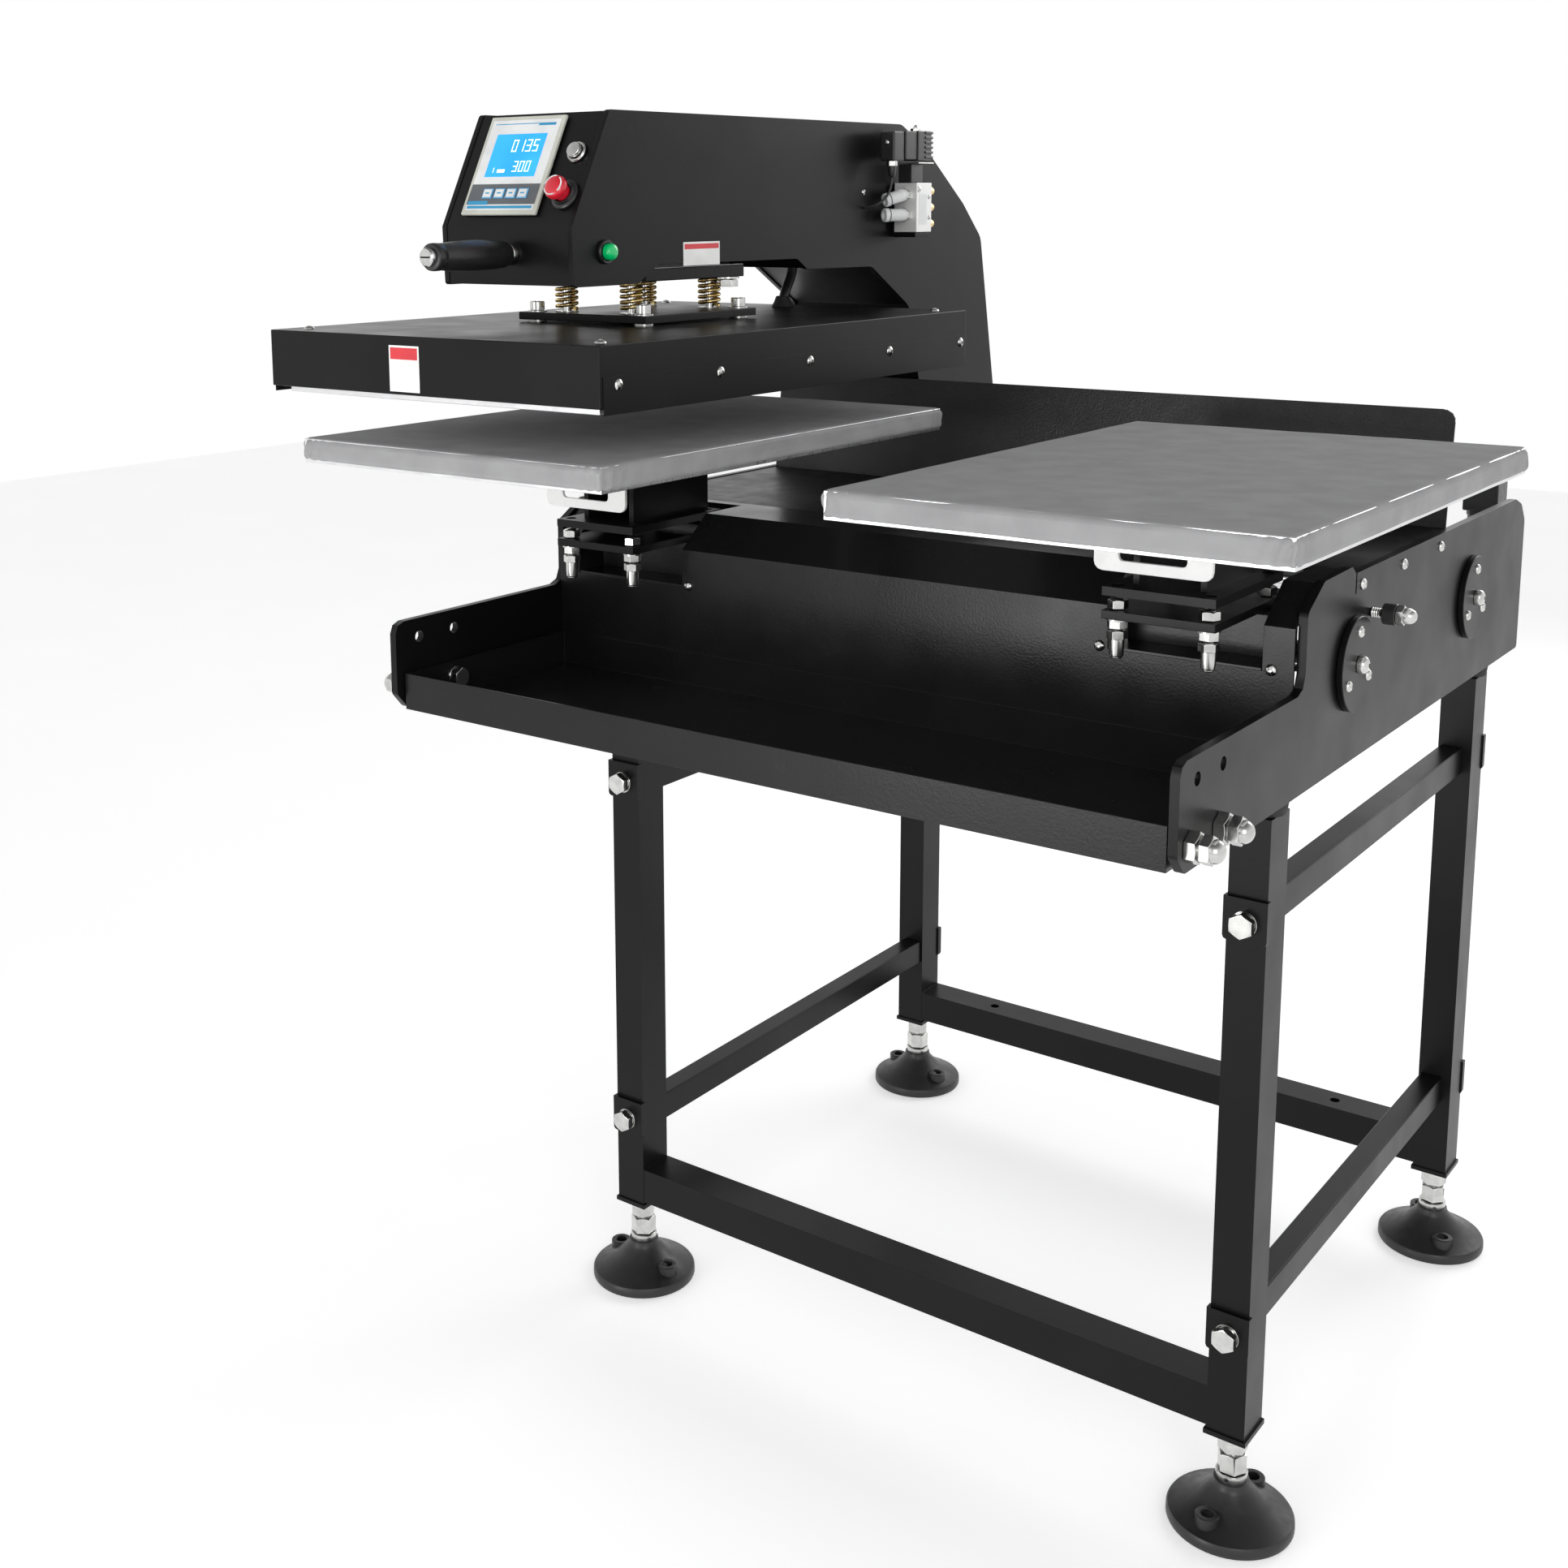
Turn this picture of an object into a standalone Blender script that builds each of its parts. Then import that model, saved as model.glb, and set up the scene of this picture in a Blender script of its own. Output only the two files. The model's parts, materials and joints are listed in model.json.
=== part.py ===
"""Pneumatic double-station shuttle heat press on a floor stand.

Metres, +Z up. The machine faces -Y and its right side is +X. The sizes below are measured from the
middle of the stand (X), from a plane 12 mm ahead of the front legs (Y) and from the floor (Z). One
empty carries all of it, so that the frame's origin is on the floor under the middle of the machine.
"""

import bpy
import bmesh
import math
from mathutils import Matrix, Vector

# ---- driving dimensions -------------------------------------------------------------------------
FRAME_X = 0.00925
FRAME_Y = -0.19775
GAP = 0.0003

# stand
LEG_X0 = 0.347
LEG_X1 = 0.385
LEG_DEPTH = 0.045
FRONT_LEG_Y = 0.012
REAR_LEG_Y = 0.648
LEG_BOTTOM = 0.098
LEG_TOP = 0.718
RAIL_Z0 = 0.106
RAIL_Z1 = 0.147
SIDE_RAIL_X0 = 0.3496
SIDE_RAIL_X1 = 0.3746
SIDE_RAIL_HEIGHT = 0.032
SIDE_RAIL_MIDDLES = (0.2085, 0.6185)
CLAMP_SIZE = 0.042
CLAMP_THICK = 0.005
BOLT_RADIUS = 0.005
PAD_DIRECTIONS = (math.radians(-8), math.radians(-100), math.radians(-15), math.radians(-55))
PAD_RADIUS = 0.061
PAD_TOP = 0.046

# machine box
BOX_BOTTOM = 0.760
BOX_X = 0.424
PLATE_THICK = 0.008
BOX_FRONT = -0.2895
BOX_REAR = 0.657
BOX_TOP = 0.936
TRAY_LIP = 0.7976
BEAM_Y = -0.036
BEAM_EDGE_Z = 0.9066
SHAFT_RADIUS = 0.015
SHAFT_Z = 0.853
SHAFT_YS = (0.090, 0.455)
TRAY_BOLT_YS = (-0.268, -0.211)
TRAY_BOLT_Z = 0.7805
TRAY_BOLT_RADIUS = 0.006
COVER_SCREW_YS = (0.107, 0.224, 0.340)
COVER_SCREW_Z = 0.9235
COVER_SCREW_RADIUS = 0.0025
STOP_PLACE = (0.134, 0.893)
STOP_RADIUS = 0.004
STOP_TIP = 0.4125
COVER_BEND_Y = 0.384
COVER_TOP = 1.055

# stations and platens
STATION_X = 0.316
STATION_Y = -0.015
SUPPORT_Z = 0.9070
LOWER_X = 0.200
LOWER_Y = 0.302
LOWER_Z0 = 1.0107
LOWER_Z1 = 1.0375
HEAT_X = 0.216
HEAT_Y = 0.321
HEAT_BOTTOM = 1.0835
COVER_Z0 = 1.090
COVER_Z1 = 1.146

# arm
ARM_HALF = 0.086
ARM_PLATE = 0.006
ARM_FLOOR = 1.190
ARM_CEILING = 1.3575
PANEL_FOOT = (-0.220, 1.2466)
PANEL_HEAD = (-0.162, 1.3575)
ARM_X = -STATION_X
START_BUTTON = (-0.172, 1.2218)
ESTOP_SPOT = (0.152, 0.092)
POWER_SPOT = (0.149, 0.046)
BUTTON_TRAVEL = 0.0025
ESTOP_TRAVEL = 0.004
GRIP_X = ARM_X + 0.005
GRIP_FACE = -0.2182
GRIP_Z = 1.220
VALVE_Y = 0.365
VALVE_Z = 1.2605


# ---- small helpers ------------------------------------------------------------------------------
MATERIALS = {}


def material(name, colour, roughness, metallic):
    """A plain Principled material, made once for each name."""
    if name not in MATERIALS:
        made = bpy.data.materials.new(name)
        made.use_nodes = True
        shader = made.node_tree.nodes["Principled BSDF"]
        shader.inputs["Base Color"].default_value = (*colour, 1.0)
        shader.inputs["Roughness"].default_value = roughness
        shader.inputs["Metallic"].default_value = metallic
        MATERIALS[name] = made
    return MATERIALS[name]


def black_paint():
    return material("black_powder_coat", (0.012, 0.012, 0.013), 0.45, 0.0)


def zinc():
    return material("bright_zinc", (0.75, 0.75, 0.74), 0.25, 1.0)


def aluminium():
    return material("aluminium", (0.72, 0.73, 0.74), 0.35, 1.0)


def black_plastic():
    return material("black_plastic", (0.015, 0.015, 0.016), 0.4, 0.0)


def white_plastic():
    return material("white_plastic", (0.8, 0.8, 0.78), 0.35, 0.0)


def mesh_from(build):
    """Run a bmesh recipe and return its mesh with the faces pointing out."""
    bm = bmesh.new()
    build(bm)
    bmesh.ops.recalc_face_normals(bm, faces=bm.faces)
    mesh = bpy.data.meshes.new("mesh")
    bm.to_mesh(mesh)
    bm.free()
    return mesh


def raw(mesh):
    """An object around a mesh, for shapes that are joined or used as cutters."""
    obj = bpy.data.objects.new("shape", mesh)
    bpy.context.scene.collection.objects.link(obj)
    return obj


def prism(outline, axis, start, end):
    """Extrude a closed outline along X, Y or Z. The outline holds the two other coordinates in order."""
    index = "XYZ".index(axis)

    def build(bm):
        first = []
        for point in outline:
            place = list(point)
            place.insert(index, start)
            first.append(bm.verts.new(place))
        face = bm.faces.new(first)
        pushed = bmesh.ops.extrude_face_region(bm, geom=[face])
        move = [0.0, 0.0, 0.0]
        move[index] = end - start
        moved = [item for item in pushed["geom"] if isinstance(item, bmesh.types.BMVert)]
        bmesh.ops.translate(bm, vec=move, verts=moved)

    return raw(mesh_from(build))


def block(x0, x1, y0, y1, z0, z1):
    """A rectangular block between two corners."""
    return prism([(x0, y0), (x1, y0), (x1, y1), (x0, y1)], "Z", z0, z1)


def ring_points(centre, radius, sides, turn=0.0):
    """Points evenly round a circle."""
    points = []
    for i in range(sides):
        angle = 2 * math.pi * i / sides + turn
        points.append((centre[0] + radius * math.cos(angle), centre[1] + radius * math.sin(angle)))
    return points


def rod(axis, centre, radius, start, end, sides=20):
    """A round bar along an axis. The centre holds the two other coordinates in order."""
    return prism(ring_points(centre, radius, sides, math.pi / sides), axis, start, end)


def hexagon(axis, centre, across_flats, start, end, turn=0.0):
    """A hexagonal bar, such as a nut or a bolt head."""
    return prism(ring_points(centre, across_flats / math.sqrt(3), 6, turn), axis, start, end)


def turned(profile, centre, axis="Z", sides=24):
    """Turn a profile of (radius, height) about an axis through the centre (x, y, z)."""

    def build(bm):
        rings = []
        for radius, height in profile:
            if radius < 1e-6:
                rings.append([bm.verts.new((0, 0, height))])
            else:
                rings.append([bm.verts.new((x, y, height)) for x, y in ring_points((0, 0), radius, sides)])
        for low, high in zip(rings, rings[1:]):
            for i in range(sides):
                j = (i + 1) % sides
                if len(low) == 1:
                    bm.faces.new((low[0], high[j], high[i]))
                elif len(high) == 1:
                    bm.faces.new((low[i], low[j], high[0]))
                else:
                    bm.faces.new((low[i], low[j], high[j], high[i]))
        if len(rings[0]) > 1:
            bm.faces.new(rings[0][::-1])
        if len(rings[-1]) > 1:
            bm.faces.new(rings[-1])
        turn = {"Z": Matrix(), "X": Matrix.Rotation(math.pi / 2, 4, "Y"),
                "-X": Matrix.Rotation(-math.pi / 2, 4, "Y"), "-Y": Matrix.Rotation(math.pi / 2, 4, "X"),
                "-Z": Matrix.Rotation(math.pi, 4, "X")}[axis]
        bmesh.ops.transform(bm, matrix=Matrix.Translation(centre) @ turn, verts=bm.verts)

    return raw(mesh_from(build))


def rounded(corners, steps=2):
    """Turn corners of (a, b, radius) into an outline with round corners."""
    points = []
    count = len(corners)
    for i, (a, b, radius) in enumerate(corners):
        here = Vector((a, b))
        if radius <= 0:
            points.append((a, b))
            continue
        before = (Vector(corners[i - 1][:2]) - here).normalized()
        after = (Vector(corners[(i + 1) % count][:2]) - here).normalized()
        half = math.acos(max(-1.0, min(1.0, before.dot(after)))) / 2
        middle = here + (before + after).normalized() * (radius / math.sin(half))
        first = here + before * (radius / math.tan(half)) - middle
        last = here + after * (radius / math.tan(half)) - middle
        sweep = first.angle_signed(last)
        for k in range(steps + 1):
            turned_by = Matrix.Rotation(-sweep * k / steps, 2)
            points.append(tuple(middle + turned_by @ first))
    return points


def sheet(line, thickness):
    """The outline of a folded sheet: the line itself and a copy of it set off to its left."""
    offsets = []
    for i, point in enumerate(line):
        here = Vector(point)
        normals = []
        if i > 0:
            run = (here - Vector(line[i - 1])).normalized()
            normals.append(Vector((-run.y, run.x)))
        if i < len(line) - 1:
            run = (Vector(line[i + 1]) - here).normalized()
            normals.append(Vector((-run.y, run.x)))
        middle = sum(normals, Vector((0, 0))).normalized()
        offsets.append(tuple(here + middle * (thickness / middle.dot(normals[0]))))
    return list(line) + offsets[::-1]


def evaluated(obj):
    """Apply an object's modifiers to its own mesh."""
    graph = bpy.context.evaluated_depsgraph_get()
    fresh = bpy.data.meshes.new_from_object(obj.evaluated_get(graph))
    obj.modifiers.clear()
    obj.data = fresh


def combine(target, others, operation):
    """Cut the other shapes out of the target, or weld them on."""
    for other in others:
        step = target.modifiers.new("combine", "BOOLEAN")
        step.operation = operation
        step.solver = "EXACT"
        step.object = other
        evaluated(target)
        bpy.data.objects.remove(other)
    return target


def cut(target, *others):
    return combine(target, others, "DIFFERENCE")


def weld(target, *others):
    return combine(target, others, "UNION")


def join(shapes):
    """Keep several separate solids in one object."""

    def build(bm):
        for shape in shapes:
            bm.from_mesh(shape.data)

    joined = raw(mesh_from(build))
    for shape in shapes:
        bpy.data.objects.remove(shape)
    return joined


def mirrored(shape):
    """A copy of a shape on the other side of the machine's middle plane."""
    copy = raw(shape.data.copy())
    bm = bmesh.new()
    bm.from_mesh(copy.data)
    bmesh.ops.scale(bm, vec=(-1, 1, 1), verts=bm.verts)
    bmesh.ops.recalc_face_normals(bm, faces=bm.faces)
    bm.to_mesh(copy.data)
    bm.free()
    return copy


def part(name, shape, look, pivot=(0.0, 0.0, 0.0), smooth=False):
    """Name a finished sub-part, give it its material and put its origin on its pivot."""
    shape.name = name
    shape.data.name = name
    shape.data.transform(Matrix.Translation(-Vector(pivot)))
    shape.data.materials.clear()
    shape.data.materials.append(look)
    shape.location = pivot
    shape.parent = bpy.data.objects["machine"]
    if smooth:
        shape.data.shade_smooth()
        shape.data.set_sharp_from_angle(angle=math.radians(35))
    return shape


# ---- stand --------------------------------------------------------------------------------------
def leg(y0, out):
    """The right leg of a frame: a square tube with an end plate, two clamping pads and bolt holes."""
    whole = block(LEG_X0, LEG_X1, y0, y0 + LEG_DEPTH, LEG_BOTTOM + 0.003, LEG_TOP)
    plate = block(LEG_X0 - 0.002, LEG_X1 + 0.002, y0 - 0.002, y0 + LEG_DEPTH + 0.002, LEG_BOTTOM, LEG_BOTTOM + 0.005)
    whole = weld(whole, plate)
    x = (LEG_X0 + LEG_X1) / 2
    half = CLAMP_SIZE / 2
    face = y0 if out < 0 else y0 + LEG_DEPTH
    for z in SIDE_RAIL_MIDDLES:
        corners = [(x - half, z - half + 0.002, 0.004), (x + half, z - half + 0.002, 0.004),
                   (x + half, z + half + 0.002, 0), (x - half, z + half + 0.002, 0)]
        whole = weld(whole, prism(rounded(corners, 2), "Y", face - out * 0.003, face + out * CLAMP_THICK))
        bolt_hole = rod("Y", (x, z), BOLT_RADIUS + 2 * GAP, y0 - 0.02, y0 + LEG_DEPTH + 0.02, 8)
        whole = cut(whole, bolt_hole)
    stud_hole = rod("Z", (x, y0 + LEG_DEPTH / 2), 0.0090, LEG_BOTTOM - 0.01, LEG_BOTTOM + 0.03, 8)
    return cut(whole, stud_hole)


def leg_frame(y0, out):
    """Two legs and the low rail welded between them."""
    right = leg(y0, out)
    rail = block(-LEG_X0 - 0.005, LEG_X0 + 0.005, y0 + 0.0004, y0 + LEG_DEPTH - 0.0004, RAIL_Z0, RAIL_Z1)
    return weld(rail, mirrored(right), right)


def side_rail(z):
    """The right side rail with the bolt in each end, which passes through the leg."""
    start = FRONT_LEG_Y + LEG_DEPTH + GAP
    end = REAR_LEG_Y - GAP
    rail = block(SIDE_RAIL_X0, SIDE_RAIL_X1, start, end, z - SIDE_RAIL_HEIGHT / 2, z + SIDE_RAIL_HEIGHT / 2)
    x = (LEG_X0 + LEG_X1) / 2
    for out, inside, face in ((-1, start, FRONT_LEG_Y - CLAMP_THICK - GAP),
                              (1, end, REAR_LEG_Y + LEG_DEPTH + CLAMP_THICK + GAP)):
        shank = rod("Y", (x, z), BOLT_RADIUS, inside - out * 0.004, face + out * 0.004, 8)
        washer = rod("Y", (x, z), 0.0118, face, face + out * 0.0025, 12)
        head = hexagon("Y", (x, z), 0.022, face + out * 0.002, face + out * 0.011, math.radians(15))
        rail = weld(rail, shank, washer, head)
    return rail


def stand():
    part("front_frame", leg_frame(FRONT_LEG_Y, -1), black_paint())
    rear = leg_frame(REAR_LEG_Y, 1)
    middle = REAR_LEG_Y + LEG_DEPTH / 2
    for x in (-0.241, 0.241):
        rear = cut(rear, rod("Z", (x, middle), 0.006, RAIL_Z1 - 0.012, RAIL_Z1 + 0.01, 12))
    part("rear_frame", rear, black_paint())
    for level, z in zip(("lower", "upper"), SIDE_RAIL_MIDDLES):
        right = side_rail(z)
        part(f"side_rail_{level}_left", mirrored(right), black_paint())
        part(f"side_rail_{level}_right", right, black_paint())


def corners():
    """The four corners of the stand: a name, and the middle of the leg."""
    x = (LEG_X0 + LEG_X1) / 2
    for end, y in (("front", FRONT_LEG_Y + LEG_DEPTH / 2), ("rear", REAR_LEG_Y + LEG_DEPTH / 2)):
        yield f"{end}_left", -x, y
        yield f"{end}_right", x, y


def feet():
    """Levelling feet: a plastic pad with two fixing holes, a stud, a collar and two nuts."""
    for (name, x, y), direction in zip(corners(), PAD_DIRECTIONS):
        profile = [(PAD_RADIUS, 0.0), (PAD_RADIUS, 0.010), (0.024, 0.034), (0.0170, PAD_TOP)]
        foot = turned(profile, (x, y, 0), sides=24)
        for side in (0, math.pi):
            bx = x + 0.040 * math.cos(direction + side)
            by = y + 0.040 * math.sin(direction + side)
            foot = weld(foot, rod("Z", (bx, by), 0.011, 0.004, 0.027, 10))
            foot = cut(foot, rod("Z", (bx, by), 0.0055, 0.010, 0.04, 8))
        foot = weld(foot, rod("Z", (x, y), 0.0145, PAD_TOP - 0.002, 0.054, 12))
        foot = weld(foot, rod("Z", (x, y), 0.008, 0.050, LEG_BOTTOM + 0.025, 8))
        foot = weld(foot, hexagon("Z", (x, y), 0.027, 0.0555, 0.0735, 0.2))
        foot = weld(foot, hexagon("Z", (x, y), 0.027, 0.0760, LEG_BOTTOM - GAP, 0.5))
        part(f"levelling_foot_{name}", foot, black_plastic(), smooth=True)


# ---- machine box --------------------------------------------------------------------------------
def rubber_mounts():
    look = material("rubber", (0.02, 0.02, 0.02), 0.8, 0.0)
    for name, x, y in corners():
        profile = [(0.022, LEG_TOP + GAP), (0.026, LEG_TOP + 0.010), (0.029, LEG_TOP + 0.022),
                   (0.029, BOX_BOTTOM - GAP)]
        part(f"rubber_mount_{name}", turned(profile, (x, y, 0), sides=20), look, smooth=True)


def side_plate_outline():
    """The stepped side of the box: low round the tray, high round the travelling head."""
    return rounded([
        (BOX_FRONT + 0.014, BOX_BOTTOM, 0.006), (BOX_REAR, BOX_BOTTOM, 0.004), (BOX_REAR, 0.908, 0.010),
        (0.640, 0.928, 0.010), (0.616, BOX_TOP, 0.006), (0.0915, BOX_TOP, 0), (0.0915, 0.917, 0),
        (0.0885, 0.917, 0), (0.0885, BOX_TOP, 0), (0.078, 0.9435, 0.004), (0.008, 0.9420, 0.008),
        (-0.030, 0.9200, 0.008), (-0.030, 0.8505, 0.016), (BOX_FRONT, 0.8505, 0.012), (BOX_FRONT, 0.776, 0.006)])


def side_plate():
    """The right side plate: outline, bottom flange over the legs, and the holes."""
    plate = prism(side_plate_outline(), "X", BOX_X - PLATE_THICK, BOX_X)
    flange = block(0.338, BOX_X - 0.004, -0.030, BOX_REAR - 0.002, BOX_BOTTOM, BOX_BOTTOM + 0.005)
    plate = weld(plate, flange)
    holes = [(y, 0.831, 0.006) for y in (-0.256, -0.2055)]
    holes += [(y, SHAFT_Z, SHAFT_RADIUS + 0.0006) for y in SHAFT_YS]
    holes += [(y, TRAY_BOLT_Z, TRAY_BOLT_RADIUS + 2 * GAP) for y in TRAY_BOLT_YS]
    holes += [(y, COVER_SCREW_Z, COVER_SCREW_RADIUS + 2 * GAP) for y in COVER_SCREW_YS]
    holes.append((*STOP_PLACE, STOP_RADIUS + 2 * GAP))
    for y, z, radius in holes:
        plate = cut(plate, rod("X", (y, z), radius, 0.40, 0.44, 20 if radius > 0.01 else 10))
    return plate


def box_sides():
    right = side_plate()
    part("side_plate_left", mirrored(right), black_paint())
    part("side_plate_right", right, black_paint())


def tray_bolt(y):
    """A bolt through the tray's right end and the side plate, with a lock nut and a dome nut outside."""
    x = BOX_X + GAP
    head = hexagon("X", (y, TRAY_BOLT_Z), 0.019, 0.4010, 0.4105, 0.2)
    shank = rod("X", (y, TRAY_BOLT_Z), TRAY_BOLT_RADIUS, 0.404, x + 0.020, 8)
    nut = hexagon("X", (y, TRAY_BOLT_Z), 0.024, x, x + 0.010, 0.2)
    dome = turned([(0.0125, 0.0), (0.0125, 0.008), (0.007, 0.018)], (x + 0.0125, y, TRAY_BOLT_Z), "X", 10)
    return weld(shank, head, nut, dome)


def tray():
    """Front tray: an open pan of folded sheet between the side plates."""
    half, front, rear, wall = 0.412, -0.2818, BEAM_Y - GAP, 0.002
    body = block(-half, half, front, rear, BOX_BOTTOM, TRAY_LIP)
    hollow = block(-half + wall, half - wall, front + wall, rear - wall, BOX_BOTTOM + wall, TRAY_LIP + 0.01)
    body = cut(body, hollow)
    for y in TRAY_BOLT_YS:
        bolt = tray_bolt(y)
        body = weld(body, mirrored(bolt), bolt)
    part("tray", body, black_paint())


def front_beam():
    """Folded front sheet with a window under each platen support."""
    inner = BOX_X - PLATE_THICK - GAP
    line = [(BEAM_Y, BOX_BOTTOM), (BEAM_Y, BEAM_EDGE_Z), (0.006, 0.9400), (0.084, 0.9400)]
    beam = prism(sheet(line[::-1], 0.003), "X", -inner, inner)
    for station in (-STATION_X, STATION_X):
        window = block(station - 0.072, station + 0.072, BEAM_Y - 0.02, 0.070, 0.866, 0.96)
        seat = block(station - 0.071, station + 0.071, 0.004, 0.050, 0.867, BEAM_EDGE_Z)
        web = block(station - 0.071, station + 0.071, BEAM_Y + 0.0005, 0.020, 0.861, 0.8685)
        beam = weld(cut(beam, window), weld(seat, web))
        for x in (station - 0.080, station + 0.080):
            beam = weld(beam, rod("Y", (x, 0.868), 0.0045, BEAM_Y + 0.001, BEAM_Y - 0.0035, 8))
    part("front_beam", beam, black_paint())


def top_cover():
    """Flat cover over the shafts, folded up into the guard in front of the column."""
    inner = BOX_X - PLATE_THICK - GAP
    line = [(0.094, BOX_TOP - 0.003), (COVER_BEND_Y, BOX_TOP - 0.003), (COVER_BEND_Y + 0.014, COVER_TOP)]
    cover = prism(sheet(line, 0.002), "X", -inner, inner)
    for x in (-inner, inner):
        corner = prism([(x - 0.014, COVER_TOP - 0.012), (x + 0.014, COVER_TOP - 0.012), (x + 0.014, COVER_TOP + 0.01),
                        (x - 0.014, COVER_TOP + 0.01)], "Y", 0.36, 0.42)
        sign = 1 if x > 0 else -1
        keep = rod("Y", (x - sign * 0.012, COVER_TOP - 0.012), 0.012, 0.35, 0.43, 12)
        slab = block(x - sign * 0.0279, x - sign * 0.012, 0.35, 0.43, COVER_TOP - 0.03, COVER_TOP + 0.012)
        cover = cut(cover, cut(corner, keep, slab))
    flange = block(inner - 0.002, inner, 0.094, COVER_BEND_Y - 0.006, BOX_TOP - 0.030, BOX_TOP - 0.002)
    for y in COVER_SCREW_YS:
        screw = rod("X", (y, COVER_SCREW_Z), COVER_SCREW_RADIUS, inner - 0.001, BOX_X + 0.002, 6)
        head = rod("X", (y, COVER_SCREW_Z), 0.005, BOX_X + GAP, BOX_X + 0.004, 8)
        flange = weld(flange, screw, head)
    part("top_cover", weld(cover, mirrored(flange), flange), black_paint())


def rear_beam():
    inner = 0.338 - GAP
    line = [(0.600, 0.812), (0.600, 0.766), (0.650, 0.766), (0.650, 0.812)]
    part("rear_beam", prism(sheet(line, 0.004), "X", -inner, inner), black_paint())


def shaft_cap(y):
    """A disc that closes the shaft's hole in the right side plate, with its four screws."""
    cap = turned([(0.044, 0.0), (0.044, 0.006)], (BOX_X + GAP, y, SHAFT_Z), "X", 28)
    face = BOX_X + GAP + 0.0055
    cap = weld(cap, turned([(0.008, 0.0), (0.008, 0.009)], (face, y, SHAFT_Z), "X", 10))
    for angle in (90, -30, 210):
        turn = math.radians(angle)
        spot = (face, y + 0.030 * math.cos(turn), SHAFT_Z + 0.030 * math.sin(turn))
        cap = weld(cap, turned([(0.005, 0.0), (0.005, 0.0035)], spot, "X", 8))
    return cap


def guide_shafts():
    look = material("hard_chrome", (0.8, 0.8, 0.8), 0.12, 1.0)
    for end, y in zip(("front", "rear"), SHAFT_YS):
        shaft = rod("X", (y, SHAFT_Z), SHAFT_RADIUS, -BOX_X + 0.001, BOX_X - 0.001, 20)
        part(f"guide_shaft_{end}", shaft, look, smooth=True)
        right = shaft_cap(y)
        part(f"shaft_cap_{end}_left", mirrored(right), black_paint(), smooth=True)
        part(f"shaft_cap_{end}_right", right, black_paint(), smooth=True)


def travel_stops():
    """Cushioned end stops of the travelling head, screwed through the side plates."""
    y, z = STOP_PLACE
    profile = [(STOP_RADIUS, STOP_TIP - BOX_X), (STOP_RADIUS, GAP), (0.005, GAP + 0.0001), (0.005, 0.012),
               (0.0100, 0.0121), (0.0100, 0.0265), (0.009, 0.0266), (0.009, 0.034), (0.0045, 0.042)]
    right = turned(profile, (BOX_X, y, z), "X", 12)
    part("travel_stop_left", mirrored(right), zinc(), smooth=True)
    part("travel_stop_right", right, zinc(), smooth=True)


def air_regulator():
    """Filter and pressure regulator of the air supply, hung on the rear of the right side plate."""
    x, y = 0.372, 0.686
    body = turned([(0.010, 0.850), (0.017, 0.858), (0.018, 0.905), (0.021, 0.906), (0.021, 0.945), (0.015, 0.946),
                   (0.015, 0.970), (0.012, 0.974)], (x, y, 0), sides=20)
    bracket = block(x + 0.010, BOX_X - 0.001, BOX_REAR + GAP, 0.660, 0.872, 0.905)
    neck = block(x - 0.008, x + 0.012, BOX_REAR + GAP, y, 0.876, 0.902)
    part("air_regulator", weld(body, weld(bracket, neck)), black_plastic(), smooth=True)


# ---- platens ------------------------------------------------------------------------------------
def levelling_stud(x, y, bottom):
    """A stud through both support plates, with its nuts. The front ones hang down in front of the beam."""
    stud = rod("Z", (x, y), 0.005, bottom, 0.9400, 8)
    stud = weld(stud, hexagon("Z", (x, y), 0.016, 0.9160, 0.9240, 0.3))
    if bottom < SUPPORT_Z:
        stud = weld(stud, hexagon("Z", (x, y), 0.016, SUPPORT_Z - 0.0075, SUPPORT_Z + 0.0005, 0.6))
        stud = weld(stud, hexagon("Z", (x, y), 0.016, 0.8800, 0.8960, 0.1))
    return stud


def support_plate(name, station):
    """The lower support plate, which bolts to the front beam, with its four levelling studs."""
    plate = block(station - 0.052, station + 0.052, -0.094, 0.060, SUPPORT_Z, SUPPORT_Z + 0.008)
    for dx in (-0.042, 0.042):
        plate = weld(plate, levelling_stud(station + dx, -0.082, 0.874))
        plate = weld(plate, levelling_stud(station + dx, 0.048, SUPPORT_Z + 0.001))
    part(name, plate, black_paint())


def saddle(name, station):
    """Upper support plate with the channel that carries the platen. The release tongue slides inside it."""
    plate = block(station - 0.052, station + 0.052, -0.094, 0.060, 0.9280, 0.9360)
    for dx in (-0.042, 0.042):
        for y in (-0.082, 0.048):
            plate = cut(plate, rod("Z", (station + dx, y), 0.0060, 0.92, 0.95, 8))
    top = LOWER_Z0 - GAP
    outline = [(-0.034, 0.9345), (-0.028, 0.9345), (-0.028, top - 0.007), (0.028, top - 0.007), (0.028, 0.9345),
               (0.034, 0.9345), (0.034, top - 0.001), (-0.034, top - 0.001)]
    channel = prism([(station + x, z) for x, z in outline], "Y", -0.070, 0.060)
    table = block(station - 0.090, station + 0.090, -0.075, 0.150, top - 0.005, top)
    whole = weld(channel, plate, table)
    for side in (-1, 1):
        for y in (-0.030, 0.050):
            x = station + side * 0.033
            whole = weld(whole, hexagon("X", (y, 0.985), 0.013, x, x + side * 0.0075, 0.3))
    part(name, whole, black_paint())


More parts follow.
